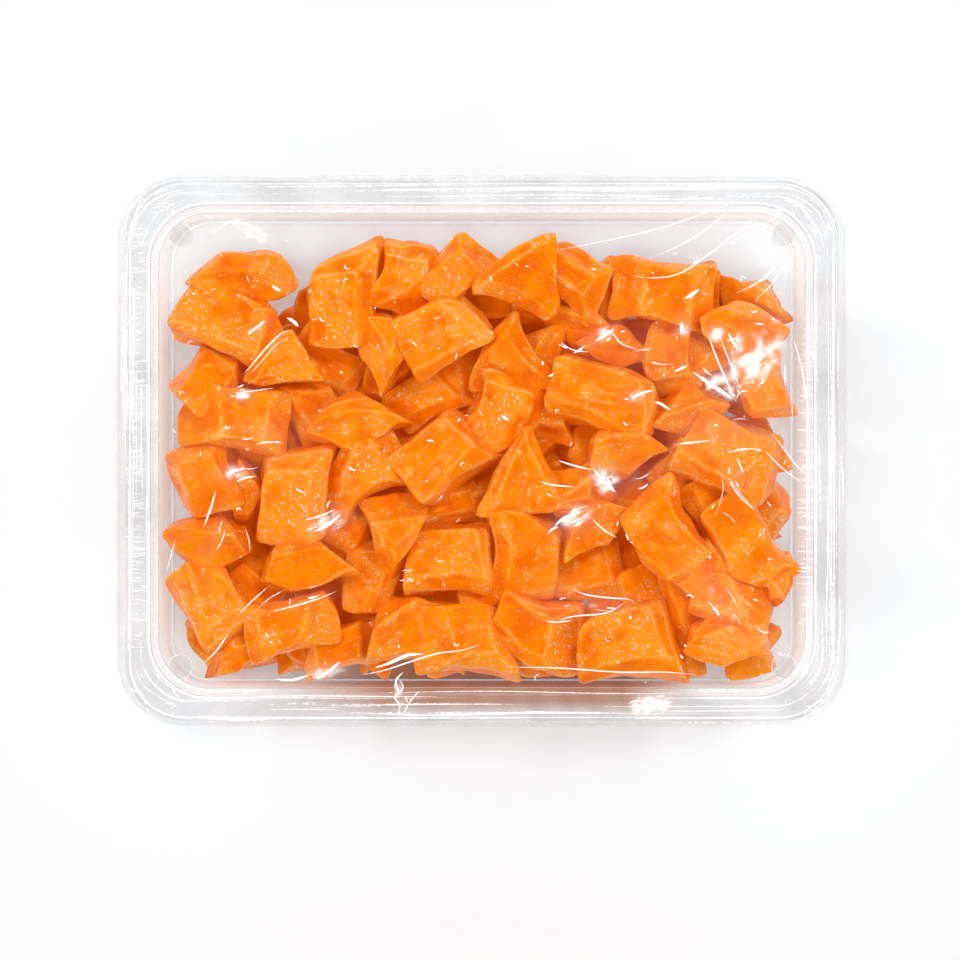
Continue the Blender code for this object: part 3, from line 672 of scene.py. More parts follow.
def make_candies(finish):
    """One piece for each kind and layer, and the core. Returns the points of the upper layer."""
    tops = []
    for layer, places, cells in (
        ("top", shown_candies(), SHOWN_GRID),
        ("low", under_candies(), UNDER_GRID),
    ):
        grid_points, grid_faces = cube_grid(cells)
        for kind in KINDS:
            points, own, ridge_frost_and_tone, faces = [], [], [], []
            count = 0
            for place in places:
                if place[0] != kind:
                    continue
                body, grain, ridge_frost_and_tone_of_piece = candy(*place, grid_points)
                points.append(body)
                own.append(grain)
                ridge_frost_and_tone.append(ridge_frost_and_tone_of_piece)
                faces.append(grid_faces + count)
                count += len(body)
            if not points:
                continue
            points = np.concatenate(points)
            attributes = {"grain": np.concatenate(own), "ridge_frost_and_tone": np.concatenate(ridge_frost_and_tone)}
            piece = mesh_object(f"candies_{kind}_{layer}", points, np.concatenate(faces), attributes)
            piece.data.materials.append(finish)
            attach(piece, BODY)
            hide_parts("candy_heap")
            if layer == "top":
                tops.append(points)
    make_core(finish)
    return np.concatenate(tops)


def make_core(finish):
    """The middle of the heap, which fills the gaps between the candies near the bottom."""
    chance = random.Random(5)
    points, faces = cube_grid(CORE_GRID)
    points = points / (np.abs(points) ** 8).sum(axis=1)[:, None] ** (1 / 8)
    points *= ((CORE_ENDS[1] - CORE_ENDS[0]) / 2, (CORE_SIDES[1] - CORE_SIDES[0]) / 2, CORE_HALF)
    points += (sum(CORE_ENDS) / 2, sum(CORE_SIDES) / 2, CORE_MIDDLE)
    lumps = ripples(points, chance, 14, *CORE_WAVES)
    points[:, 2] += CORE_LUMPS * lumps * (points[:, 2] > CORE_MIDDLE)
    attributes = {"grain": points, "ridge_frost_and_tone": np.zeros((len(points), 3))}
    core = mesh_object("heap_core", points, faces, attributes)
    core.data.materials.append(finish)
    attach(core, BODY)
    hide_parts("candy_heap")


# Rounded rings, which the tray and the film are lofted from


def rounded_ring(half_x, half_y, radius, height, columns, rows, arc):
    """One rounded rectangle, counter-clockwise from the middle of its lower left corner."""
    corners = ((-1, -1, 225.0), (1, -1, 315.0), (1, 1, 45.0), (-1, 1, 135.0))
    half_arc = arc // 2
    points = []
    for side, (sign_x, sign_y, middle) in enumerate(corners):
        next_x, next_y, _ = corners[(side + 1) % 4]
        steps = columns if side % 2 == 0 else rows
        centre = np.array((sign_x * (half_x - radius), sign_y * (half_y - radius)))
        ahead = np.array((next_x * (half_x - radius), next_y * (half_y - radius)))
        first = np.radians(middle + 45.0 * np.arange(half_arc + 1) / half_arc)
        corner = centre + radius * np.stack((np.cos(first), np.sin(first)), axis=1)
        end = ahead + radius * np.array((math.cos(first[-1]), math.sin(first[-1])))
        straight = steps - arc
        share = (np.arange(1, straight + 1) / straight)[:, None]
        line = corner[-1] * (1 - share) + end * share
        last = first[-1] + np.radians(45.0 * np.arange(1, half_arc) / half_arc)
        turn = ahead + radius * np.stack((np.cos(last), np.sin(last)), axis=1)
        points += [corner, line, turn]
    flat = np.concatenate(points)
    return np.column_stack((flat, np.full(len(flat), height)))


def between(rings, steps):
    """More rings between each pair: (half x, half y, radius, height) at even steps."""
    made = [rings[0]]
    for start, end, count in zip(rings, rings[1:], steps):
        for step in range(1, count + 1):
            share = step / count
            made.append(tuple(a + (b - a) * share for a, b in zip(start, end)))
    return made


def loft_faces(rings, count):
    """The faces between rings that lie one after another, each of count points."""
    faces = []
    along = np.arange(count)
    after = (along + 1) % count
    for level in range(rings - 1):
        low = level * count
        high = low + count
        faces.append(np.stack((low + along, low + after, high + after, high + along), axis=1))
    return np.concatenate(faces)


def patch_inside(ring, columns, rows):
    """Rows of points that fill a ring made by rounded_ring, its own points on the border."""
    bottom = ring[: columns + 1]
    right = ring[columns : columns + rows + 1]
    top = ring[columns + rows : 2 * columns + rows + 1][::-1]
    left = np.concatenate((ring[2 * columns + rows :], ring[:1]))[::-1]
    u = (np.arange(columns + 1) / columns)[None, :, None]
    v = (np.arange(rows + 1) / rows)[:, None, None]
    across = bottom[None] * (1 - v) + top[None] * v
    along = left[:, None] * (1 - u) + right[:, None] * u
    low = bottom[0] * (1 - u) + bottom[-1] * u
    high = top[0] * (1 - u) + top[-1] * u
    return across + along - (low * (1 - v) + high * v)


def patch_numbers(first_of_ring, first_inside, columns, rows):
    """The vertex numbers of a patch's grid, its border taken from a ring."""
    count = 2 * (columns + rows)
    numbers = np.empty((rows + 1, columns + 1), int)
    inside = np.arange((rows - 1) * (columns - 1)).reshape(rows - 1, columns - 1)
    numbers[1:-1, 1:-1] = first_inside + inside
    numbers[0, :] = first_of_ring + np.arange(columns + 1)
    numbers[rows, :] = first_of_ring + (2 * columns + rows - np.arange(columns + 1)) % count
    numbers[:, columns] = first_of_ring + columns + np.arange(rows + 1)
    numbers[:, 0] = first_of_ring + (count - np.arange(rows + 1)) % count
    return numbers


def grid_faces(numbers):
    """The faces of a grid, from the numbers of its points."""
    return np.stack(
        (numbers[:-1, :-1], numbers[:-1, 1:], numbers[1:, 1:], numbers[1:, :-1]), axis=-1
    ).reshape(-1, 4)


# The clear tray


def tray_profile():
    """The tray's upper side from the skirt's edge in to the foot panel.

    Each entry: inset at the ends, inset at the sides, corner radius, height, rings up to the
    next, its milkiness with painted highlight, its painted dark line and its painted orange
    reflection of the heap.
    """
    corner = CORNER_RADIUS / MM
    inner = INNER_RADIUS / MM
    rim = RIM_TOP / MM
    wall = rim - STEP_DROP / MM
    base = (FLOOR_TOP + FLOOR_FILLET) / MM
    end_foot = (SKIRT_FLARE[0] + FLANGE_WIDTH + STEP_WIDTH + WALL_DRAFT[0]) / MM - 1.2
    side_foot = (SKIRT_FLARE[1] + FLANGE_WIDTH + STEP_WIDTH + WALL_DRAFT[1]) / MM - 0.9
    panel = PANEL_INSET / MM
    panel_radius = PANEL_RADIUS / MM
    sunk = panel + PANEL_SLOPE / MM
    floor = FLOOR_TOP / MM
    return (
        (0.0, 0.0, corner, rim - 4.5, 1, 0.03, 0.9, 0.0),
        (0.25, 0.2, corner - 0.2, rim - 4.1, 4, 0.2, 0.35, 0.0),
        (1.5, 0.8, corner - 1.2, rim - 1.3, 2, 0.2, 0.35, 0.0),
        (1.95, 1.05, corner - 1.5, rim - 0.4, 1, 0.3, 0.3, 0.0),
        (2.2, 1.25, corner - 1.7, rim - 0.1, 1, 0.1, 0.6, 0.0),
        (2.9, 1.75, corner - 2.1, rim, 1, 0.1, 0.55, 0.0),
        (3.2, 2.0, corner - 2.3, rim, 1, 0.9, 0.0, 0.0),
        (3.5, 2.2, corner - 2.5, rim, 9, 0.15, 0.45, 0.0),
        (7.5, 6.6, inner + 2.6, rim, 2, 0.2, 0.4, 0.0),
        (8.2, 7.2, inner + 2.3, rim, 1, 0.85, 0.0, 0.0),
        (8.5, 7.5, inner + 2.0, rim - 0.05, 1, 0.1, 0.5, 0.3),
        (8.75, 7.75, inner + 1.9, rim - 0.35, 1, 0.85, 0.0, 0.0),
        (9.1, 8.1, inner + 1.6, rim - 1.2, 2, 0.6, 0.1, 0.03),
        (9.7, 8.7, inner + 1.1, wall + 0.4, 2, 0.5, 0.12, 0.0),
        (10.3, 9.3, inner + 0.4, wall, 1, 0.5, 0.12, 0.0),
        (10.55, 9.55, inner + 0.1, wall - 0.15, 1, 0.1, 0.35, 0.3),
        (10.75, 9.7, inner - 0.1, wall - 1.4, 5, 0.62, 0.0, 0.0),
        (end_foot - 0.6, side_foot - 0.35, inner - 1.4, base + 13, 2, 0.55, 0.0, 0.0),
        (end_foot - 0.5, side_foot - 0.3, inner - 1.5, base + 10, 2, 0.3, 0.2, 0.1),
        (end_foot - 0.4, side_foot - 0.25, inner - 1.6, base + 7, 2, 0.85, 0.0, 0.0),
        (end_foot - 0.2, side_foot - 0.15, inner - 1.9, base + 2, 1, 0.85, 0.0, 0.0),
        (end_foot, side_foot, inner - 2.0, base, 2, 0.42, 0.13, 0.0),
        (end_foot + 0.5, side_foot + 0.5, inner - 2.2, floor + 0.5, 2, 0.42, 0.13, 0.0),
        (end_foot + 1.8, side_foot + 1.8, inner - 3.4, floor, 5, 0.42, 0.13, 0.0),
        (end_foot + panel, side_foot + panel, panel_radius, floor, 2, 0.25, 0.1, 0.0),
        (end_foot + sunk, side_foot + sunk, panel_radius - 1.0, TRAY_WALL / MM / 2, 0, 0.0, 0.0, 0.0),
    )


def uneven_along(points, chance, shortest, longest):
    """A value from 0 to 1 that drifts along the rim and hardly across it."""
    flat = points.copy()
    flat[:, 2] = 0
    length = np.linalg.norm(flat, axis=1)[:, None]
    around = flat / np.maximum(length, 1e-6) * 0.1
    return 0.5 + 0.5 * np.clip(ripples(around, chance, 10, shortest, longest), -1, 1)


def beside(points, heap):
    """How near the heap is to each point, seen from above: 1 at the heap, 0 well away from it."""

    def cells_of(places):
        column = ((places[:, 0] + NEAR_HALF[0]) / NEAR_CELL).astype(int)
        row = ((places[:, 1] + NEAR_HALF[1]) / NEAR_CELL).astype(int)
        return column, row

    taken = np.zeros(NEAR_GRID)
    taken[cells_of(heap)] = 1
    for _ in range(NEAR_STEPS):
        spread = taken.copy()
        spread[1:] = np.maximum(spread[1:], NEAR_FADE * taken[:-1])
        spread[:-1] = np.maximum(spread[:-1], NEAR_FADE * taken[1:])
        spread[:, 1:] = np.maximum(spread[:, 1:], NEAR_FADE * taken[:, :-1])
        spread[:, :-1] = np.maximum(spread[:, :-1], NEAR_FADE * taken[:, 1:])
        taken = spread
    return taken[cells_of(points)]


def make_tray(finish, heap):
    """The tray's upper side, lofted from its skirt to the foot panel."""
    columns, rows, arc = TRAY_COLUMNS, TRAY_ROWS, TRAY_ARC
    profile = tray_profile()
    rings = between([ring[:4] + ring[5:] for ring in profile], [ring[4] for ring in profile[:-1]])
    levels = []
    milk_and_painted_light = []
    for inset_x, inset_y, radius, height, *look in rings:
        half_x, half_y = tray_half(inset_x * MM, inset_y * MM)
        ring = rounded_ring(half_x, half_y, radius * MM, height * MM, columns, rows, arc)
        levels.append(ring)
        milk_and_painted_light.append(np.tile(look, (len(ring), 1)))
    points = np.concatenate(levels)
    milk_and_painted_light = np.concatenate(milk_and_painted_light)
    count = 2 * (columns + rows)
    faces = loft_faces(len(rings), count)
    grid = patch_inside(levels[-1], columns, rows)[1:-1, 1:-1].reshape(-1, 3)
    numbers = patch_numbers(len(points) - count, len(points), columns, rows)
    points = np.concatenate((points, grid))
    milk_and_painted_light = np.concatenate((milk_and_painted_light, np.zeros((len(grid), 3))))
    faces = np.concatenate((faces, grid_faces(numbers)))
    chance = random.Random(11)
    # The rim's milky highlight and painted dark lines drift along it, and its height a little
    drift = uneven_along(points, chance, 6 * MM, 22 * MM)
    fine = uneven_along(points, chance, 1.5 * MM, 4 * MM)
    on_rim = points[:, 2] > RIM_TOP - STEP_DROP - 0.5 * MM
    milk_and_painted_light[:, 0] *= np.where(on_rim, 0.55 + 0.5 * drift + 0.35 * fine, 1.0)
    milk_and_painted_light[:, 1] *= np.where(on_rim, 0.5 + 0.6 * (1 - drift) + 0.3 * fine, 1.0)
    # The lower side stands against the heap and gets its orange as a painted reflection;
    # the tray's floor near the heap gets painted orange light
    x, y = points[:, 0], points[:, 1]
    painted_reflection_mask = smooth(*REFLECTION_FROM_EDGE, y) * smooth(*REFLECTION_FROM_MIDDLE, y)
    painted_reflection_mask *= smooth(*REFLECTION_FROM_LEFT, x) * smooth(*REFLECTION_FROM_RIGHT, -x)
    low = points[:, 2] < ORANGE_ON_FLOOR_BELOW
    milk_and_painted_light[:, 2] = np.clip(milk_and_painted_light[:, 2] + painted_reflection_mask + 0.22 * low * beside(points, heap) ** 1.5, 0, 1)
    milk_and_painted_light[:, :2] *= (1 - 0.92 * painted_reflection_mask)[:, None]
    points[:, 2] += 0.05 * MM * (fine - 0.5) * on_rim
    tray = mesh_object("clear_tray", points, faces, {"milk_and_painted_light": milk_and_painted_light})
    tray.data.materials.append(finish)
    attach(tray, BODY)
    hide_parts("tray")
    tray.visible_shadow = False


def make_lugs(finish):
    """The four stacking lugs in the corners, each a low round stud with a rounded edge."""
    half_x, half_y = wall_half(RIM_TOP - STEP_DROP)
    diagonal = (INNER_RADIUS - LUG_INSET) * math.sqrt(0.5)
    rim = LUG_RADIUS / MM
    # Each ring: radius, drop, milkiness with painted highlight, and painted dark line
    profile = (
        (0.02, 0.0, 0.05, 0.35),
        (rim - 0.6, 0.0, 0.05, 0.35),
        (rim - 0.3, -0.1, 0.2, 0.3),
        (rim - 0.2, -0.2, 0.9, 0.0),
        (rim - 0.05, -0.6, 0.9, 0.0),
        (rim, -1.2, 0.2, 0.3),
        (rim, -LUG_HEIGHT / MM, 0.1, 0.3),
    )
    around = LUG_SIDES
    points, faces, milk_and_painted_light = [], [], []
    for sign_x in (-1, 1):
        for sign_y in (-1, 1):
            x = sign_x * (half_x - INNER_RADIUS + diagonal)
            y = sign_y * (half_y - INNER_RADIUS + diagonal)
            first = len(points)
            for radius, drop, milk_and_highlight, painted_dark in profile:
                for step in range(around):
                    angle = 2 * math.pi * step / around
                    place = (x + radius * MM * math.cos(angle), y + radius * MM * math.sin(angle))
                    points.append((*place, RIM_TOP - STEP_DROP - 0.3 * MM + drop * MM))
                    milk_and_painted_light.append((milk_and_highlight, painted_dark, 0.0))
            for level in range(len(profile) - 1):
                for step in range(around):
                    after = (step + 1) % around
                    low = first + level * around
                    faces.append((low + step, low + around + step, low + around + after, low + after))
    lugs = mesh_object("tray_lugs", np.array(points), faces, {"milk_and_painted_light": milk_and_painted_light})
    lugs.data.materials.append(finish)
    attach(lugs, BODY)
    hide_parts("tray")
    lugs.visible_shadow = False


# The stretched film


def smooth_course(course, spacing):
    """Points along a smooth line through the places of a crease, in metres."""
    knots = np.array([from_view(*place) for place in course])
    knots = np.concatenate((2 * knots[:1] - knots[1:2], knots, 2 * knots[-1:] - knots[-2:-1]))
    made = []
    for index in range(1, len(knots) - 2):
        before, start, end, after = knots[index - 1 : index + 3]
        steps = max(2, int(np.linalg.norm(end - start) / spacing))
        for t in np.arange(steps) / steps:
            made.append(
                0.5
                * (
                    2 * start
                    + (end - before) * t
                    + (2 * before - 5 * start + 4 * end - after) * t**2
                    + (3 * start - before - 3 * end + after) * t**3
                )
            )
    made.append(knots[-2])
    return np.array(made)


class FilmHeight:
    """The height of the film over the tray, on an even grid of cells."""

    def __init__(self, tops):
        self.low_x, self.low_y = FILM_GRID_CORNER
        self.columns, self.rows = FILM_GRID
        self.x = self.low_x + FILM_CELL * np.arange(self.columns)
        self.y = self.low_y + FILM_CELL * np.arange(self.rows)
        self.floor = self.held_up_by(tops)
        self.height = self.stretched()
        self.wrinkled()

    def held_up_by(self, tops):
        """The least height at each place: the flange outside, and the candies inside."""
        grid_x, grid_y = np.meshgrid(self.x, self.y)
        half_x, half_y = tray_half(SKIRT_FLARE[0] + FLANGE_WIDTH, SKIRT_FLARE[1] + FLANGE_WIDTH)
        radius = INNER_RADIUS + STEP_WIDTH
        over_x = np.maximum(0, np.abs(grid_x) - (half_x - radius))
        over_y = np.maximum(0, np.abs(grid_y) - (half_y - radius))
        self.on_flange = np.hypot(over_x, over_y) > radius
        floor = np.where(self.on_flange, RIM_TOP + FILM_OVER_FLANGE, 0.0)
        tops = tops[tops[:, 2] > RIM_TOP - 6 * MM]
        column = np.rint((tops[:, 0] - self.low_x) / FILM_CELL).astype(int)
        row = np.rint((tops[:, 1] - self.low_y) / FILM_CELL).astype(int)
        for step_x in (-1, 0, 1):
            for step_y in (-1, 0, 1):
                np.maximum.at(floor, (row + step_y, column + step_x), tops[:, 2] + FILM_OVER_CANDY)
        return floor

    def stretched(self):
        """The film drawn tight over what holds it up, from a coarse grid to a fine one."""
        height = None
        for coarse in (8, 4, 2, 1):
            rows = -(-self.rows // coarse)
            columns = -(-self.columns // coarse)
            padded = np.full((rows * coarse, columns * coarse), self.floor[0, 0])
            padded[: self.rows, : self.columns] = self.floor
            floor = padded.reshape(rows, coarse, columns, coarse).max(axis=(1, 3))
            held = np.zeros_like(padded, bool)
            held[: self.rows, : self.columns] = self.on_flange
            held = held.reshape(rows, coarse, columns, coarse).all(axis=(1, 3))
            if height is None:
                height = np.maximum(floor, RIM_TOP)
            else:
                height = np.repeat(np.repeat(height, 2, axis=0), 2, axis=1)
                height = np.maximum(floor, height[:rows, :columns])
            height[held] = floor[held]
            for _ in range(FILM_ROUNDS):
                middle = (
                    height[:-2, 1:-1] + height[2:, 1:-1] + height[1:-1, :-2] + height[1:-1, 2:]
                ) / 4 - FILM_PULL * coarse**2
                inside = np.maximum(floor[1:-1, 1:-1], middle)
                height[1:-1, 1:-1] = np.where(held[1:-1, 1:-1], floor[1:-1, 1:-1], inside)
        return height[: self.rows, : self.columns]

    def wrinkled(self):
        """Raises the film along its creases and ruffles it where it is crumpled."""
        grid_x, grid_y = np.meshgrid(self.x, self.y)
        # Where the film gets painted glare, and ruffles more
        self.glare = np.zeros_like(self.height)
        for column, row, reach_x, reach_y, turn, strength in GLARE:
            x, y = from_view(column, row)
            angle = math.radians(turn)
            along = (grid_x - x) * math.cos(angle) + (grid_y - y) * math.sin(angle)
            across = (grid_y - y) * math.cos(angle) - (grid_x - x) * math.sin(angle)
            away = (along / (reach_x * VIEW_SCALE)) ** 2 + (across / (reach_y * VIEW_SCALE)) ** 2
            self.glare = np.maximum(self.glare, strength * np.exp(-1.2 * away))
        chance = random.Random(7)
        flat = np.stack((grid_x.ravel(), grid_y.ravel(), np.zeros(grid_x.size)), axis=1)
        ruffle = ripples(flat, chance, 14, *RUFFLE_WAVES).reshape(grid_x.shape)
        broad = ripples(flat, chance, 8, *SAG_WAVES).reshape(grid_x.shape)
        self.height = self.height + np.abs(ruffle) * RUFFLE_HEIGHT * np.clip(self.glare * 2, 0.12, 1)
        self.height += SAG_HEIGHT * (1 + broad) * ~self.on_flange
        for _, rise, _, *course in CREASES:
            line = smooth_course(course, FILM_CELL)
            near = np.full(grid_x.shape, 1.0)
            for x, y in line:
                near = np.minimum(near, np.hypot(grid_x - x, grid_y - y))
            self.height += 0.7 * rise * MM * np.exp(-((near / CREASE_SPREAD) ** 2))

    def at(self, x, y, field=None):
        """The film's height between the points of the grid, or another field's value there."""
        field = self.height if field is None else field
        u = np.clip((x - self.low_x) / FILM_CELL, 0, self.columns - 1.001)
        v = np.clip((y - self.low_y) / FILM_CELL, 0, self.rows - 1.001)
        i, j = u.astype(int), v.astype(int)
        u, v = u - i, v - j
        low = field[j, i] * (1 - u) + field[j, i + 1] * u
        high = field[j + 1, i] * (1 - u) + field[j + 1, i + 1] * u
        return low * (1 - v) + high * v

    def top(self, x, y):
        """The film's height, also where it turns down over the rim of the flange."""
        over_x = np.maximum(np.abs(x) - TURN_BEGINS[0], 0) / TURN_REACH[0]
        over_y = np.maximum(np.abs(y) - TURN_BEGINS[1], 0) / TURN_REACH[1]
        over = np.minimum(np.maximum(over_x, over_y), 1.2)
        return np.maximum(self.at(x, y), FILM_LOWEST) - TURN_DROP * over**2


def film_profile():
    """The film from the edge of its lip under the base up to the flange.

    Each entry: half length, half width, corner radius, height, and rings up to the next.
    """
    outer_x, outer_y = PACK_LENGTH / 2 - 0.06 * MM, PACK_WIDTH / 2 - 0.06 * MM
    base_x, base_y = wall_half(FLOOR_TOP + FLOOR_FILLET)
    around = TRAY_WALL + 0.65 * MM
    lip = around - 1.2 * MM
    flare_x, flare_y = SKIRT_FLARE
    top = RIM_TOP + FILM_OVER_FLANGE
    return (
        (base_x + lip - LIP_WIDTH, base_y + lip - LIP_WIDTH, 6.0 * MM, 0.25 * MM, 8),
        (base_x + lip, base_y + lip, INNER_RADIUS - 2.4 * MM, 0.25 * MM, 2),
        (base_x + around + 0.4 * MM, base_y + around + 0.4 * MM, INNER_RADIUS - MM, 2.4 * MM, 22),
        (outer_x, outer_y, CORNER_RADIUS + 0.5 * MM, RIM_TOP - SKIRT_DROP - 0.4 * MM, 4),
        (outer_x - 0.75 * flare_x, outer_y - 0.75 * flare_y, CORNER_RADIUS - MM, top - 0.7 * MM, 2),
        (outer_x - 1.1 * flare_x, outer_y - 1.1 * flare_y, CORNER_RADIUS - 1.6 * MM, top, 0),
    )


def make_film(finish, height):
    """The film: up the sides from under the base, over the flange and across the heap."""
    profile = film_profile()
    rings = between([ring[:4] for ring in profile], [ring[4] for ring in profile[:-1]])
    size = (FILM_COLUMNS, FILM_ROWS)
    points = np.concatenate([rounded_ring(*ring, *size, FILM_ARC) for ring in rings])
    count = 2 * (FILM_COLUMNS + FILM_ROWS)
    faces = loft_faces(len(rings), count)
    grid = patch_inside(points[-count:], *size)[1:-1, 1:-1].reshape(-1, 3)
    grid[:, 2] = np.maximum(height.at(grid[:, 0], grid[:, 1]), FILM_LOWEST)
    numbers = patch_numbers(len(points) - count, len(points), *size)
    points = np.concatenate((points, grid))
    faces = np.concatenate((faces, grid_faces(numbers)))
    glare = height.at(points[:, 0], points[:, 1], height.glare)
    glare = glare * (points[:, 2] > RIM_TOP - 2 * MM)
    chance = random.Random(21)
    drift = uneven_along(points, chance, 4 * MM, 16 * MM)
    rim = smooth(*MILKY_ENDS, np.abs(points[:, 0])) + smooth(*MILKY_SIDES, np.abs(points[:, 1]))
    flat = points * (1, 1, 0)
    swayed = flat + CRUMPLE_SWAY * np.sin(flat / CRUMPLE_LENGTH)
    crumpled = ripples(swayed, chance, 16, *CRUMPLE_WAVES)
    # Painted glare: milky patches with crumpled outlines where the film would throw the light back
    painted_glare_patch = smooth(0.3, 0.85, glare * (0.7 + 0.3 * crumpled))
    marks_and_glints = np.stack((glare, np.clip(rim, 0, 1) * drift, painted_glare_patch), axis=1)
    film = mesh_object("clear_film", points, faces, {"marks_and_glints": marks_and_glints})
    film.data.materials.append(finish)
    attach(film, BODY)
    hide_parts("film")
    film.visible_shadow = False


def rim_line(inset, count):
    """A closed course around the pack at a distance in from its outline."""
    half_x, half_y = PACK_LENGTH / 2 - inset, PACK_WIDTH / 2 - inset
    radius = max(CORNER_RADIUS + 0.5 * MM - 0.62 * inset, 6 * MM)
    return rounded_ring(half_x, half_y, radius, 0.0, count, count, 2 * (count // 6))[:, :2]


def rim_creases():
    """Fine lines in the film, white with painted highlight: long ones along the rim, short ones over
    the ends' ribs.
    """
    chance = random.Random(31)
    made = []
    for _ in range(RIM_LINES):
        inset = chance.triangular(0.3, 12.0, 2.5) * MM
        ring = rim_line(inset, 300)
        length = chance.randrange(12, 130)
        start = chance.randrange(len(ring))
        course = ring[(start + np.arange(0, length, 2)) % len(ring)]
        middle = course / np.linalg.norm(course, axis=1)[:, None]
        sway = chance.uniform(0.05, 0.45) * MM
        turns = chance.uniform(0.5, 2.5)
        wave = np.sin(np.linspace(0, turns * math.pi, len(course)) + chance.uniform(0, 6)) * sway
        course = course + middle * wave[:, None]
        made.append((chance.uniform(0.07, 0.2), 0.1, chance.uniform(0.35, 1.0), course))
    for side, first, last, inner, outer in RIBS:
        y = first
        while y < last:
            y += chance.uniform(0.5, 1.5)
            begin = chance.uniform(inner, inner + 3.0)
            end = outer - chance.choice((0.0, 0.0, chance.uniform(0, 4.0)))
            slant = chance.gauss(0, 0.5)
            x = np.linspace(side * end, side * begin, 7)
            share = np.linspace(0, 1, 7)
            course = np.stack((x, y + slant * share), axis=1) * MM
            made.append((chance.uniform(0.06, 0.18), 0.12, chance.uniform(0.25, 0.9), course))
    for corner_x in (-1, 1):
        for corner_y in (-1, 1):
            for _ in range(CORNER_LINES):
                angle = chance.uniform(0.05, 0.5) * math.pi
                radius = chance.uniform(5.5, 15.5)
                reach_out = chance.uniform(0.6, 2.4)
                turn = chance.gauss(0, 2.5)
                share = np.linspace(0, 1, 6)
                away = radius + reach_out * share
                x = CORNER_MIDDLE[0] + away * np.cos(angle + 0.12 * turn * share)
                y = CORNER_MIDDLE[1] + away * np.sin(angle + 0.12 * turn * share)
                course = np.stack((corner_x * x, corner_y * y), axis=1) * MM
                made.append((chance.uniform(0.07, 0.22), 0.12, chance.uniform(0.25, 0.7), course))
    return made


def glint_specks():
    """Short painted glints scattered over the film, thickest where it is drawn over the heap."""
    chance = random.Random(41)
    made = []
    for _ in range(GLINT_SPECKS):
        x, y = chance.uniform(-80, 80) * MM, chance.uniform(-60, 56) * MM
        angle = chance.uniform(0, math.pi)
        length = chance.uniform(0.5, 2.6) * MM
        bend = chance.gauss(0, 0.25)
        share = np.linspace(-0.5, 0.5, 5)
        turned = angle + bend * share * 4
        along_x = x + length * share * np.cos(turned)
        along_y = y + length * share * np.sin(turned)
        course = np.stack((along_x, along_y), axis=1)
        made.append((chance.uniform(0.08, 0.26), 0.1, chance.uniform(0.4, 1.0), course))
    return made


def glints():
    """Bundles of fine painted highlight streaks where the film is crumpled and would throw the light
    back.
    """
    chance = random.Random(53)
    made = []
    for column, row, reach_x, reach_y, turn, strength in GLARE:
        x, y = from_view(column, row)
        angle = math.radians(turn)
        for _ in range(2 + int(min(300, strength**3 * reach_x * reach_y) / 75)):
            along = chance.gauss(0, 0.42) * reach_x * VIEW_SCALE
            across = chance.gauss(0, 0.42) * reach_y * VIEW_SCALE
            length = chance.triangular(0.1, 0.9, 0.25) * max(reach_x, reach_y) * VIEW_SCALE
            way = angle + chance.gauss(0, 0.1) + (math.pi / 2 if reach_y > reach_x else 0.0)
            bend = chance.gauss(0, 0.22)
            share = np.linspace(-0.5, 0.5, 8)
            middle_x = x + along * math.cos(angle) - across * math.sin(angle)
            middle_y = y + along * math.sin(angle) + across * math.cos(angle)
            turned = way + bend * share * 2
            along_x = middle_x + length * share * np.cos(turned)
            along_y = middle_y + length * share * np.sin(turned)
            course = np.stack((along_x, along_y), axis=1)
            half_width = chance.triangular(0.05, 0.45, 0.1)
            made.append((half_width, 0.12, chance.uniform(0.3, 0.5) + 0.5 * strength, course))
    return made


def make_folds(finish, height):
    """The sharp folds of the film, each a narrow ridge along its course, white with painted
    highlight.
    """
    courses = []
    for half_width, rise, milk_and_highlight, *course in CREASES:
        courses.append((half_width, rise, milk_and_highlight, smooth_course(course, FOLD_SPACING)))
    courses += rim_creases() + glint_specks() + glints()
    points, faces, marks_and_glints = [], [], []
    first = 0
    for half_width, rise, milk_and_highlight, line in courses:
        way = np.gradient(line, axis=0)
        way /= np.linalg.norm(way, axis=1)[:, None]
        side = np.stack((-way[:, 1], way[:, 0]), axis=1)
        share = np.linspace(0, 1, len(line))
        taper = np.sqrt(np.clip(np.sin(math.pi * np.clip(share, 0.02, 0.98)), 0, 1))
        base = height.top(line[:, 0], line[:, 1])
        for across, up in FOLD_PROFILE:
            flat = line + side * (across * half_width * MM * taper)[:, None]
            points.append(np.column_stack((flat, base + 0.03 * MM + up * rise * MM * taper)))
            strength = taper * milk_and_highlight * (1.0 - 0.75 * abs(across))
            wide = taper * min(1.0, half_width)
            marks_and_glints.append(np.stack((strength, wide, np.zeros_like(taper)), axis=1))
        size = (len(FOLD_PROFILE), len(line))
        numbers = first + np.arange(size[0] * size[1]).reshape(size)
        faces.append(grid_faces(numbers))
        first += numbers.size
    points = np.concatenate(points)
    limit = np.array((PACK_LENGTH / 2, PACK_WIDTH / 2)) - 0.02 * MM
    points[:, :2] = np.clip(points[:, :2], -limit, limit)
    marks_and_glints = {"marks_and_glints": np.concatenate(marks_and_glints)}
    folds = mesh_object("film_folds", points, np.concatenate(faces), marks_and_glints)
    folds.data.materials.append(finish)
    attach(folds, BODY)
    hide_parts("film")
    folds.visible_shadow = False


# Finishes


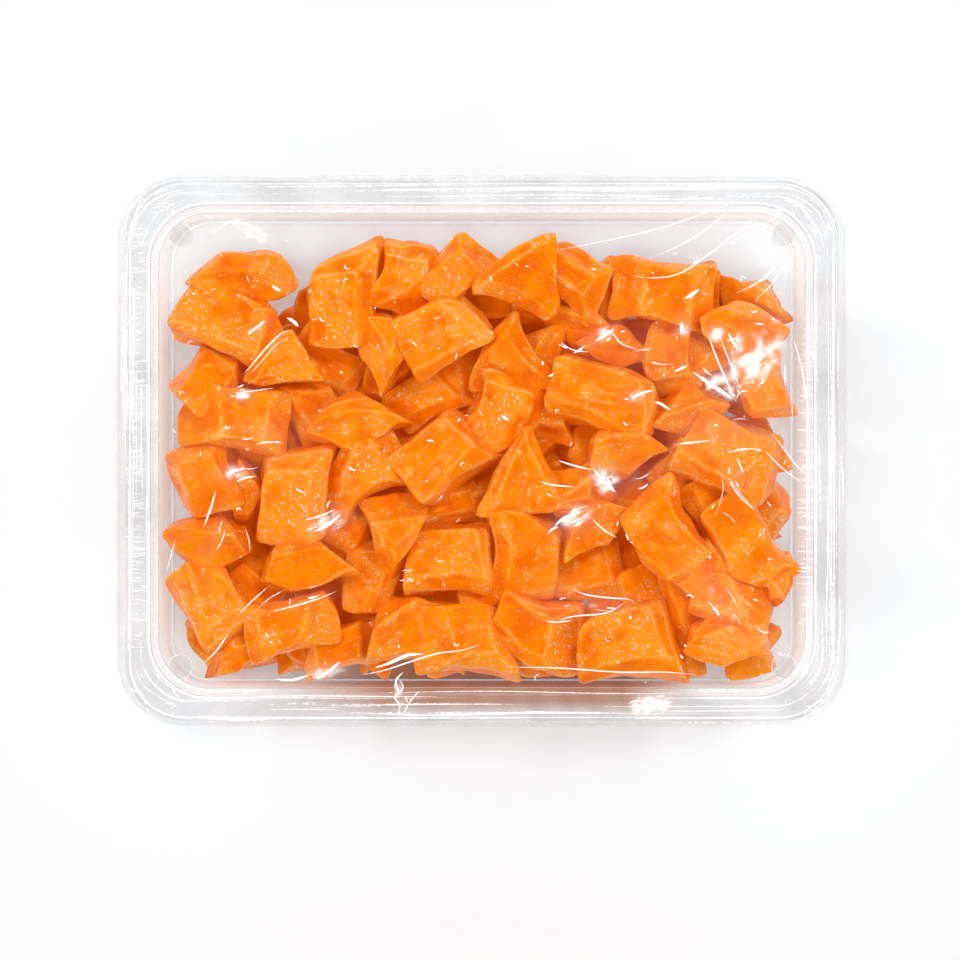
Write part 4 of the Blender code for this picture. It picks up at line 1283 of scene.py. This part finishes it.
class Value:
    """A socket of a finish, so that its maths reads as plain Python."""

    def __init__(self, finish, socket):
        self.finish = finish
        self.socket = socket

    def maths(self, operation, first, second=None):
        sockets = {0: first} if second is None else {0: first, 1: second}
        return self.finish.node("ShaderNodeMath", {"operation": operation}, sockets)

    def __add__(self, other):
        return self.maths("ADD", self, other)

    def __radd__(self, other):
        return self.maths("ADD", other, self)

    def __sub__(self, other):
        return self.maths("SUBTRACT", self, other)

    def __rsub__(self, other):
        return self.maths("SUBTRACT", other, self)

    def __mul__(self, other):
        return self.maths("MULTIPLY", self, other)

    def __rmul__(self, other):
        return self.maths("MULTIPLY", other, self)

    def __truediv__(self, other):
        return self.maths("DIVIDE", self, other)

    def __pow__(self, other):
        return self.maths("POWER", self, other)

    def __abs__(self):
        return self.maths("ABSOLUTE", self)

    def at_least(self, other):
        return self.maths("MAXIMUM", self, other)

    def at_most(self, other):
        return self.maths("MINIMUM", self, other)

    def ramp(self, low, high, start=0.0, end=1.0):
        """Goes smoothly from start to end as the value goes from low to high."""
        settings = {"interpolation_type": "SMOOTHSTEP"}
        sockets = {"Value": self, 1: low, 2: high, 3: start, 4: end}
        return self.finish.node("ShaderNodeMapRange", settings, sockets)


class Finish:
    """The nodes of a material, or of the light all round."""

    def __init__(self, owner):
        owner.use_nodes = True
        self.owner = owner
        self.tree = owner.node_tree
        self.tree.nodes.clear()

    def node(self, kind, settings=None, sockets=None, out=0):
        """Adds a node: its settings first, then its sockets' values or links."""
        made = self.tree.nodes.new(kind)
        for name, value in (settings or {}).items():
            setattr(made, name, value)
        for name, value in (sockets or {}).items():
            socket = made.inputs[name]
            if isinstance(value, Value):
                self.tree.links.new(value.socket, socket)
            else:
                socket.default_value = value
        return Value(self, made.outputs[out])

    def attribute(self, name):
        return self.node("ShaderNodeAttribute", {"attribute_name": name}, out="Vector")

    def part(self, vector, axis):
        return self.node("ShaderNodeSeparateXYZ", None, {0: vector}, out=axis)

    def stretched(self, vector, scale):
        settings = {"operation": "MULTIPLY"}
        return self.node("ShaderNodeVectorMath", settings, {0: vector, 1: scale})

    def noise(self, vector, scale, detail=2.0, roughness=0.5):
        sockets = {"Vector": vector, "Scale": scale, "Detail": detail, "Roughness": roughness}
        return self.node("ShaderNodeTexNoise", None, sockets)

    def cells(self, vector, scale):
        sockets = {"Vector": vector, "Scale": scale}
        return self.node("ShaderNodeTexVoronoi", {"feature": "F1"}, sockets, out="Distance")

    def blend(self, share, first, second):
        sockets = {0: share, 6: first, 7: second}
        return self.node("ShaderNodeMix", {"data_type": "RGBA"}, sockets, out=2)

    def bump(self, height, distance, strength):
        sockets = {"Height": height, "Distance": distance, "Strength": strength}
        return self.node("ShaderNodeBump", None, sockets)

    def surface(self, shader, kind="ShaderNodeOutputMaterial"):
        """Ends the nodes with the shader, and returns the material or world that they belong to."""
        output = self.tree.nodes.new(kind)
        self.tree.links.new(shader.socket, output.inputs["Surface"])
        return self.owner


def new_finish(name, colour, see_through=False):
    """The nodes of a new material, whose colour shows in a plain viewport."""
    material = bpy.data.materials.new(name)
    material.diffuse_color = (*colour, 1.0)
    if see_through:
        material.surface_render_method = "BLENDED"
    return Finish(material)


BRIGHT_ORANGE = (0.95, 0.235, 0.0, 1.0)
DEEP_ORANGE = (0.84, 0.14, 0.0, 1.0)
EDGE_GLOW_AND_PALE_ORANGE = (1.0, 0.3, 0.0, 1.0)
SUGAR_FROST = (1.0, 0.4, 0.03, 1.0)
SCRATCH_AND_GLINT_WHITE = (1.0, 0.74, 0.4, 1.0)


def candy_finish():
    """Boiled sugar: clear orange within, its skin scratched, pitted and frosted in places, with
    painted glow at its edges and faintly all over, and painted glints in its scratches.
    """
    finish = new_finish("orange_hard_candy", BRIGHT_ORANGE[:3])
    grain = finish.attribute("grain")
    ridge_frost_and_tone = finish.attribute("ridge_frost_and_tone")
    ridge = finish.part(ridge_frost_and_tone, "X")
    frost = finish.part(ridge_frost_and_tone, "Y")
    tint = finish.part(ridge_frost_and_tone, "Z")
    # Nearness to the edges, for frost and a painted glow, and a thin line along the sharpest ridges,
    # painted pale as partly frost and partly a painted highlight
    edge = ridge.ramp(0.82, 1.0)
    lip = ridge.ramp(0.955, 0.99)
    clouds = finish.noise(grain, 150.0, 2.0)
    patches = finish.noise(grain, 110.0, 2.0, 0.6)
    frosted = (patches + 0.16 * frost + 0.06 * edge).ramp(0.53, 0.68)
    # Short curved scratches: thin lines where one fine noise passes its middle
    lines = finish.noise(finish.stretched(grain, (0.4, 1.0, 1.0)), 1350.0, 1.0, 0.4)
    short = finish.noise(grain, 900.0, 0.0).ramp(0.5, 0.56)
    scratch = abs(lines - 0.5).ramp(0.012, 0.05, 1.0, 0.0) * short
    pits = finish.cells(grain, 560.0).ramp(0.1, 0.17, 1.0, 0.0)
    # Pulled strands run along the piece and show more on some pieces than on others
    strands = finish.noise(finish.stretched(grain, (0.08, 1.0, 1.0)), 1000.0, 1.0)
    stranded = strands.ramp(0.56, 0.66) * tint.ramp(0.5, 1.0)
    # The scratches and pits are painted pale: partly frost in them, partly painted glints
    marks_and_glints = (scratch * (0.1 + 0.9 * frosted)).at_least(pits * (0.2 + 0.8 * frosted))
    marks_and_glints = marks_and_glints.at_least(0.12 * stranded).at_least(0.26 * lip)

    colour = finish.blend(clouds.ramp(0.35, 0.65), DEEP_ORANGE, BRIGHT_ORANGE)
    # Painted glow: lighter and yellower towards the edges, where light would shine through; some
    # pieces are also paler all over
    colour = finish.blend(0.35 * edge + 0.25 * tint, colour, EDGE_GLOW_AND_PALE_ORANGE)
    colour = finish.blend(0.4 * frosted + 0.25 * lip, colour, SUGAR_FROST)
    colour = finish.blend(0.85 * marks_and_glints, colour, SCRATCH_AND_GLINT_WHITE)
    relief = 0.6 * marks_and_glints + 0.8 * clouds
    roughness = 0.18 + 0.22 * frosted
    shader = finish.node(
        "ShaderNodeBsdfPrincipled",
        None,
        {
            "Base Color": colour,
            "Roughness": roughness,
            "IOR": 1.5,
            "Specular IOR Level": 0.35,
            "Specular Tint": (1.0, 0.42, 0.05, 1.0),
            "Sheen Weight": 0.12,
            "Sheen Roughness": 0.3,
            "Sheen Tint": (1.0, 0.4, 0.03, 1.0),
            # A faint orange glow all over: painted light, for light that would pass through the sugar
            "Emission Color": (1.0, 0.2, 0.0, 1.0),
            "Emission Strength": 0.08,
            "Normal": finish.bump(relief, 0.00022, 0.8),
        },
    )
    return finish.surface(shader)


def clear_finish(finish, share, milk_and_painted_colour, roughness, most_gloss):
    """Clear plastic: see-through and glossy, and milky by the share and in the colour given; the
    milky part also glows faintly, a painted light.
    """
    fresnel = finish.node("ShaderNodeFresnel", None, {"IOR": 1.25}).at_most(most_gloss)
    through = finish.node("ShaderNodeBsdfTransparent", None, {"Color": (1.0, 1.0, 1.0, 1.0)})
    gloss = finish.node("ShaderNodeBsdfAnisotropic", None, {"Roughness": roughness})
    sheet = finish.node("ShaderNodeMixShader", None, {0: fresnel, 1: through, 2: gloss})
    milky_and_painted = finish.node(
        "ShaderNodeBsdfPrincipled",
        None,
        {
            "Base Color": milk_and_painted_colour,
            "Roughness": 0.4,
            "Specular IOR Level": 0.3,
            # The milky part glows faintly: painted light that keeps it pale
            "Emission Color": milk_and_painted_colour,
            "Emission Strength": 0.2,
        },
    )
    return finish.surface(finish.node("ShaderNodeMixShader", None, {0: share, 1: sheet, 2: milky_and_painted}))


# Milk with painted highlight, painted grey, and the painted orange reflection of the heap
MILK_AND_HIGHLIGHT_WHITE = (0.9, 0.955, 0.985, 1.0)
PAINTED_GREY = (0.4, 0.385, 0.395, 1.0)
PAINTED_ORANGE_REFLECTION = (0.34, 0.12, 0.04, 1.0)


def veil_of_walls(finish):
    """Upright walls are clear when seen square on, and pale only at a slant."""
    normal = finish.node("ShaderNodeNewGeometry", None, None, out="Normal")
    upright = abs(finish.part(normal, "Z")).ramp(0.2, 0.7, 1.0, 0.0)
    slant = finish.node("ShaderNodeLayerWeight", None, {"Blend": 0.5}, out="Facing")
    return 1.0 - 0.97 * upright * slant.ramp(0.6, 0.93, 1.0, 0.0)


def tray_finish():
    """Clear plastic, milky in places, with painted highlight lines, painted dark lines and a painted
    orange reflection of the heap.
    """
    finish = new_finish("clear_moulded_tray", (0.93, 0.93, 0.94), see_through=True)
    milk_and_painted_light = finish.attribute("milk_and_painted_light")
    milk_and_highlight = finish.part(milk_and_painted_light, "X")
    painted_dark = finish.part(milk_and_painted_light, "Y")
    orange_reflection = finish.part(milk_and_painted_light, "Z")
    milk_and_painted_colour = finish.blend(painted_dark / (milk_and_highlight + painted_dark + 0.001), MILK_AND_HIGHLIGHT_WHITE, PAINTED_GREY)
    milk_and_painted_colour = finish.blend(orange_reflection / (milk_and_highlight + painted_dark + orange_reflection + 0.001), milk_and_painted_colour, PAINTED_ORANGE_REFLECTION)
    share = (0.02 + milk_and_highlight + 0.8 * painted_dark + 0.95 * orange_reflection).at_most(0.92)
    return clear_finish(finish, share * veil_of_walls(finish), milk_and_painted_colour, 0.1, 0.08)


def film_finish():
    """Clear film, milky at the rim, with painted glare: pale patches where it would throw the light
    back.
    """
    finish = new_finish("clear_stretched_film", (0.96, 0.96, 0.97), see_through=True)
    marks_and_glints = finish.attribute("marks_and_glints")
    glare = finish.part(marks_and_glints, "X")
    rim = finish.part(marks_and_glints, "Y")
    painted_glare_patch = finish.part(marks_and_glints, "Z")
    # Painted glare and milky rim: milky white, warmer where the glare lies over the heap
    share = (0.1 * rim + 0.1 * glare + 0.7 * painted_glare_patch).at_most(0.92)
    milk_and_painted_colour = finish.blend(glare, MILK_AND_HIGHLIGHT_WHITE, (1.0, 0.86, 0.74, 1.0))
    milk_and_painted_colour = finish.blend(painted_glare_patch, milk_and_painted_colour, (1.0, 0.98, 0.96, 1.0))
    return clear_finish(finish, share * veil_of_walls(finish), milk_and_painted_colour, 0.08, 0.12)


def fold_finish():
    """The film's folds: white along the ridge, partly as crease whitening and partly as a painted
    highlight.
    """
    finish = new_finish("folds_of_film", (0.97, 0.97, 0.98), see_through=True)
    marks_and_glints = finish.attribute("marks_and_glints")
    place = finish.node("ShaderNodeTexCoord", None, None, out="Object")
    strength = finish.part(marks_and_glints, "X")
    wide = finish.part(marks_and_glints, "Y")
    broken = finish.noise(place, 900.0, 1.0)
    share = (strength + (broken - 0.5) * (0.7 + 0.5 * wide)).ramp(0.12, 0.5, 0.0, 0.97)
    return clear_finish(finish, share, (1.0, 1.0, 1.0, 1.0), 0.08, 0.3)


def floor_finish():
    """A matt pale floor, with a faint painted glow under the pack."""
    finish = new_finish("pale_floor", (0.9, 0.9, 0.9))
    place = finish.node("ShaderNodeTexCoord", None, None, out="Object")
    shade = finish.noise(place, 3.0, 2.0).ramp(0.2, 0.8)
    colour = finish.blend(shade, (0.94, 0.94, 0.94, 1), (0.96, 0.96, 0.96, 1))
    # A faint cool painted glow under the pack, which lightens its shadow and cancels the orange light
    # it throws
    beyond_x = (abs(finish.part(place, "X")) - GLOW_HALF[0]).at_least(0.0)
    beyond_y = (abs(finish.part(place, "Y")) - GLOW_HALF[1]).at_least(0.0)
    away = (beyond_x * beyond_x + beyond_y * beyond_y) ** 0.5
    glow = finish.blend(away.ramp(*GLOW_FADE), (0.35, 0.8, 1.0, 1), (0.0, 0.0, 0.0, 1))
    shader = finish.node(
        "ShaderNodeBsdfPrincipled",
        None,
        {"Base Color": colour, "Roughness": 0.8, "Emission Color": glow, "Emission Strength": 0.15},
    )
    return finish.surface(shader)


# Floor, lights and camera


def make_stage():
    """The pale floor, just under the pack."""
    corners = ((-1, -1, 0), (1, -1, 0), (1, 1, 0), (-1, 1, 0))
    points = np.array(corners) * FLOOR_HALF - (0, 0, FLOOR_GAP)
    floor = mesh_object("floor", points, ((0, 1, 2, 3),))
    floor.data.materials.append(floor_finish())


def make_tent():
    """A tent of pale light that is open at the top, so that level faces mirror nothing."""
    tent = Finish(bpy.data.worlds.new("studio"))
    way = tent.node("ShaderNodeTexCoord", None, None, out="Generated")
    strength = tent.part(way, "Z").ramp(*TENT_OPENING, TENT_LIGHT, ZENITH_LIGHT)
    sockets = {"Color": (1.0, 1.0, 1.0, 1.0), "Strength": strength}
    light = tent.node("ShaderNodeBackground", None, sockets)
    bpy.context.scene.world = tent.surface(light, "ShaderNodeOutputWorld")


def softbox(name, azimuth, zenith, size, radiance):
    """A rectangular light that faces the pack, by its direction and its brightness."""
    azimuth, zenith = math.radians(azimuth), math.radians(zenith)
    flat = LIGHT_DISTANCE * math.sin(zenith)
    place = (flat * math.cos(azimuth), flat * math.sin(azimuth), LIGHT_DISTANCE * math.cos(zenith))
    light = bpy.data.lights.new(name, "AREA")
    light.shape = "RECTANGLE"
    light.size, light.size_y = size
    light.energy = radiance * math.pi * size[0] * size[1]
    lamp = bpy.data.objects.new(name, light)
    lamp.location = place
    lamp.rotation_euler = (-Vector(place)).to_track_quat("-Z", "Y").to_euler()
    bpy.context.scene.collection.objects.link(lamp)


def make_camera():
    """The camera, straight above, with the photograph's frame."""
    lens = bpy.data.cameras.new("camera")
    lens.sensor_width = SENSOR_WIDTH
    lens.lens = SENSOR_WIDTH * CAMERA_HEIGHT / (VIEW_SIZE * VIEW_SCALE)
    lens.clip_start = 0.05
    lens.clip_end = 20.0
    camera = bpy.data.objects.new("camera", lens)
    x, y = from_view(VIEW_SIZE / 2, VIEW_SIZE / 2)
    camera.location = (x, y, RIM_TOP + CAMERA_HEIGHT)
    camera.rotation_euler = (0.0, 0.0, 0.0)
    bpy.context.scene.collection.objects.link(camera)
    bpy.context.scene.camera = camera


def main():
    sugar = candy_finish()
    tops = make_candies(sugar)
    tray_plastic = tray_finish()
    make_tray(tray_plastic, tops)
    make_lugs(tray_plastic)
    height = FilmHeight(tops)
    make_film(film_finish(), height)
    make_folds(fold_finish(), height)
    make_stage()
    make_tent()
    for box in SOFTBOXES:
        softbox(*box)
    make_camera()
    scene = bpy.context.scene
    scene.view_settings.view_transform = "Standard"
    scene.cycles.max_bounces = 3
    scene.cycles.diffuse_bounces = 2
    scene.cycles.glossy_bounces = 2
    scene.cycles.transparent_max_bounces = 10


main()
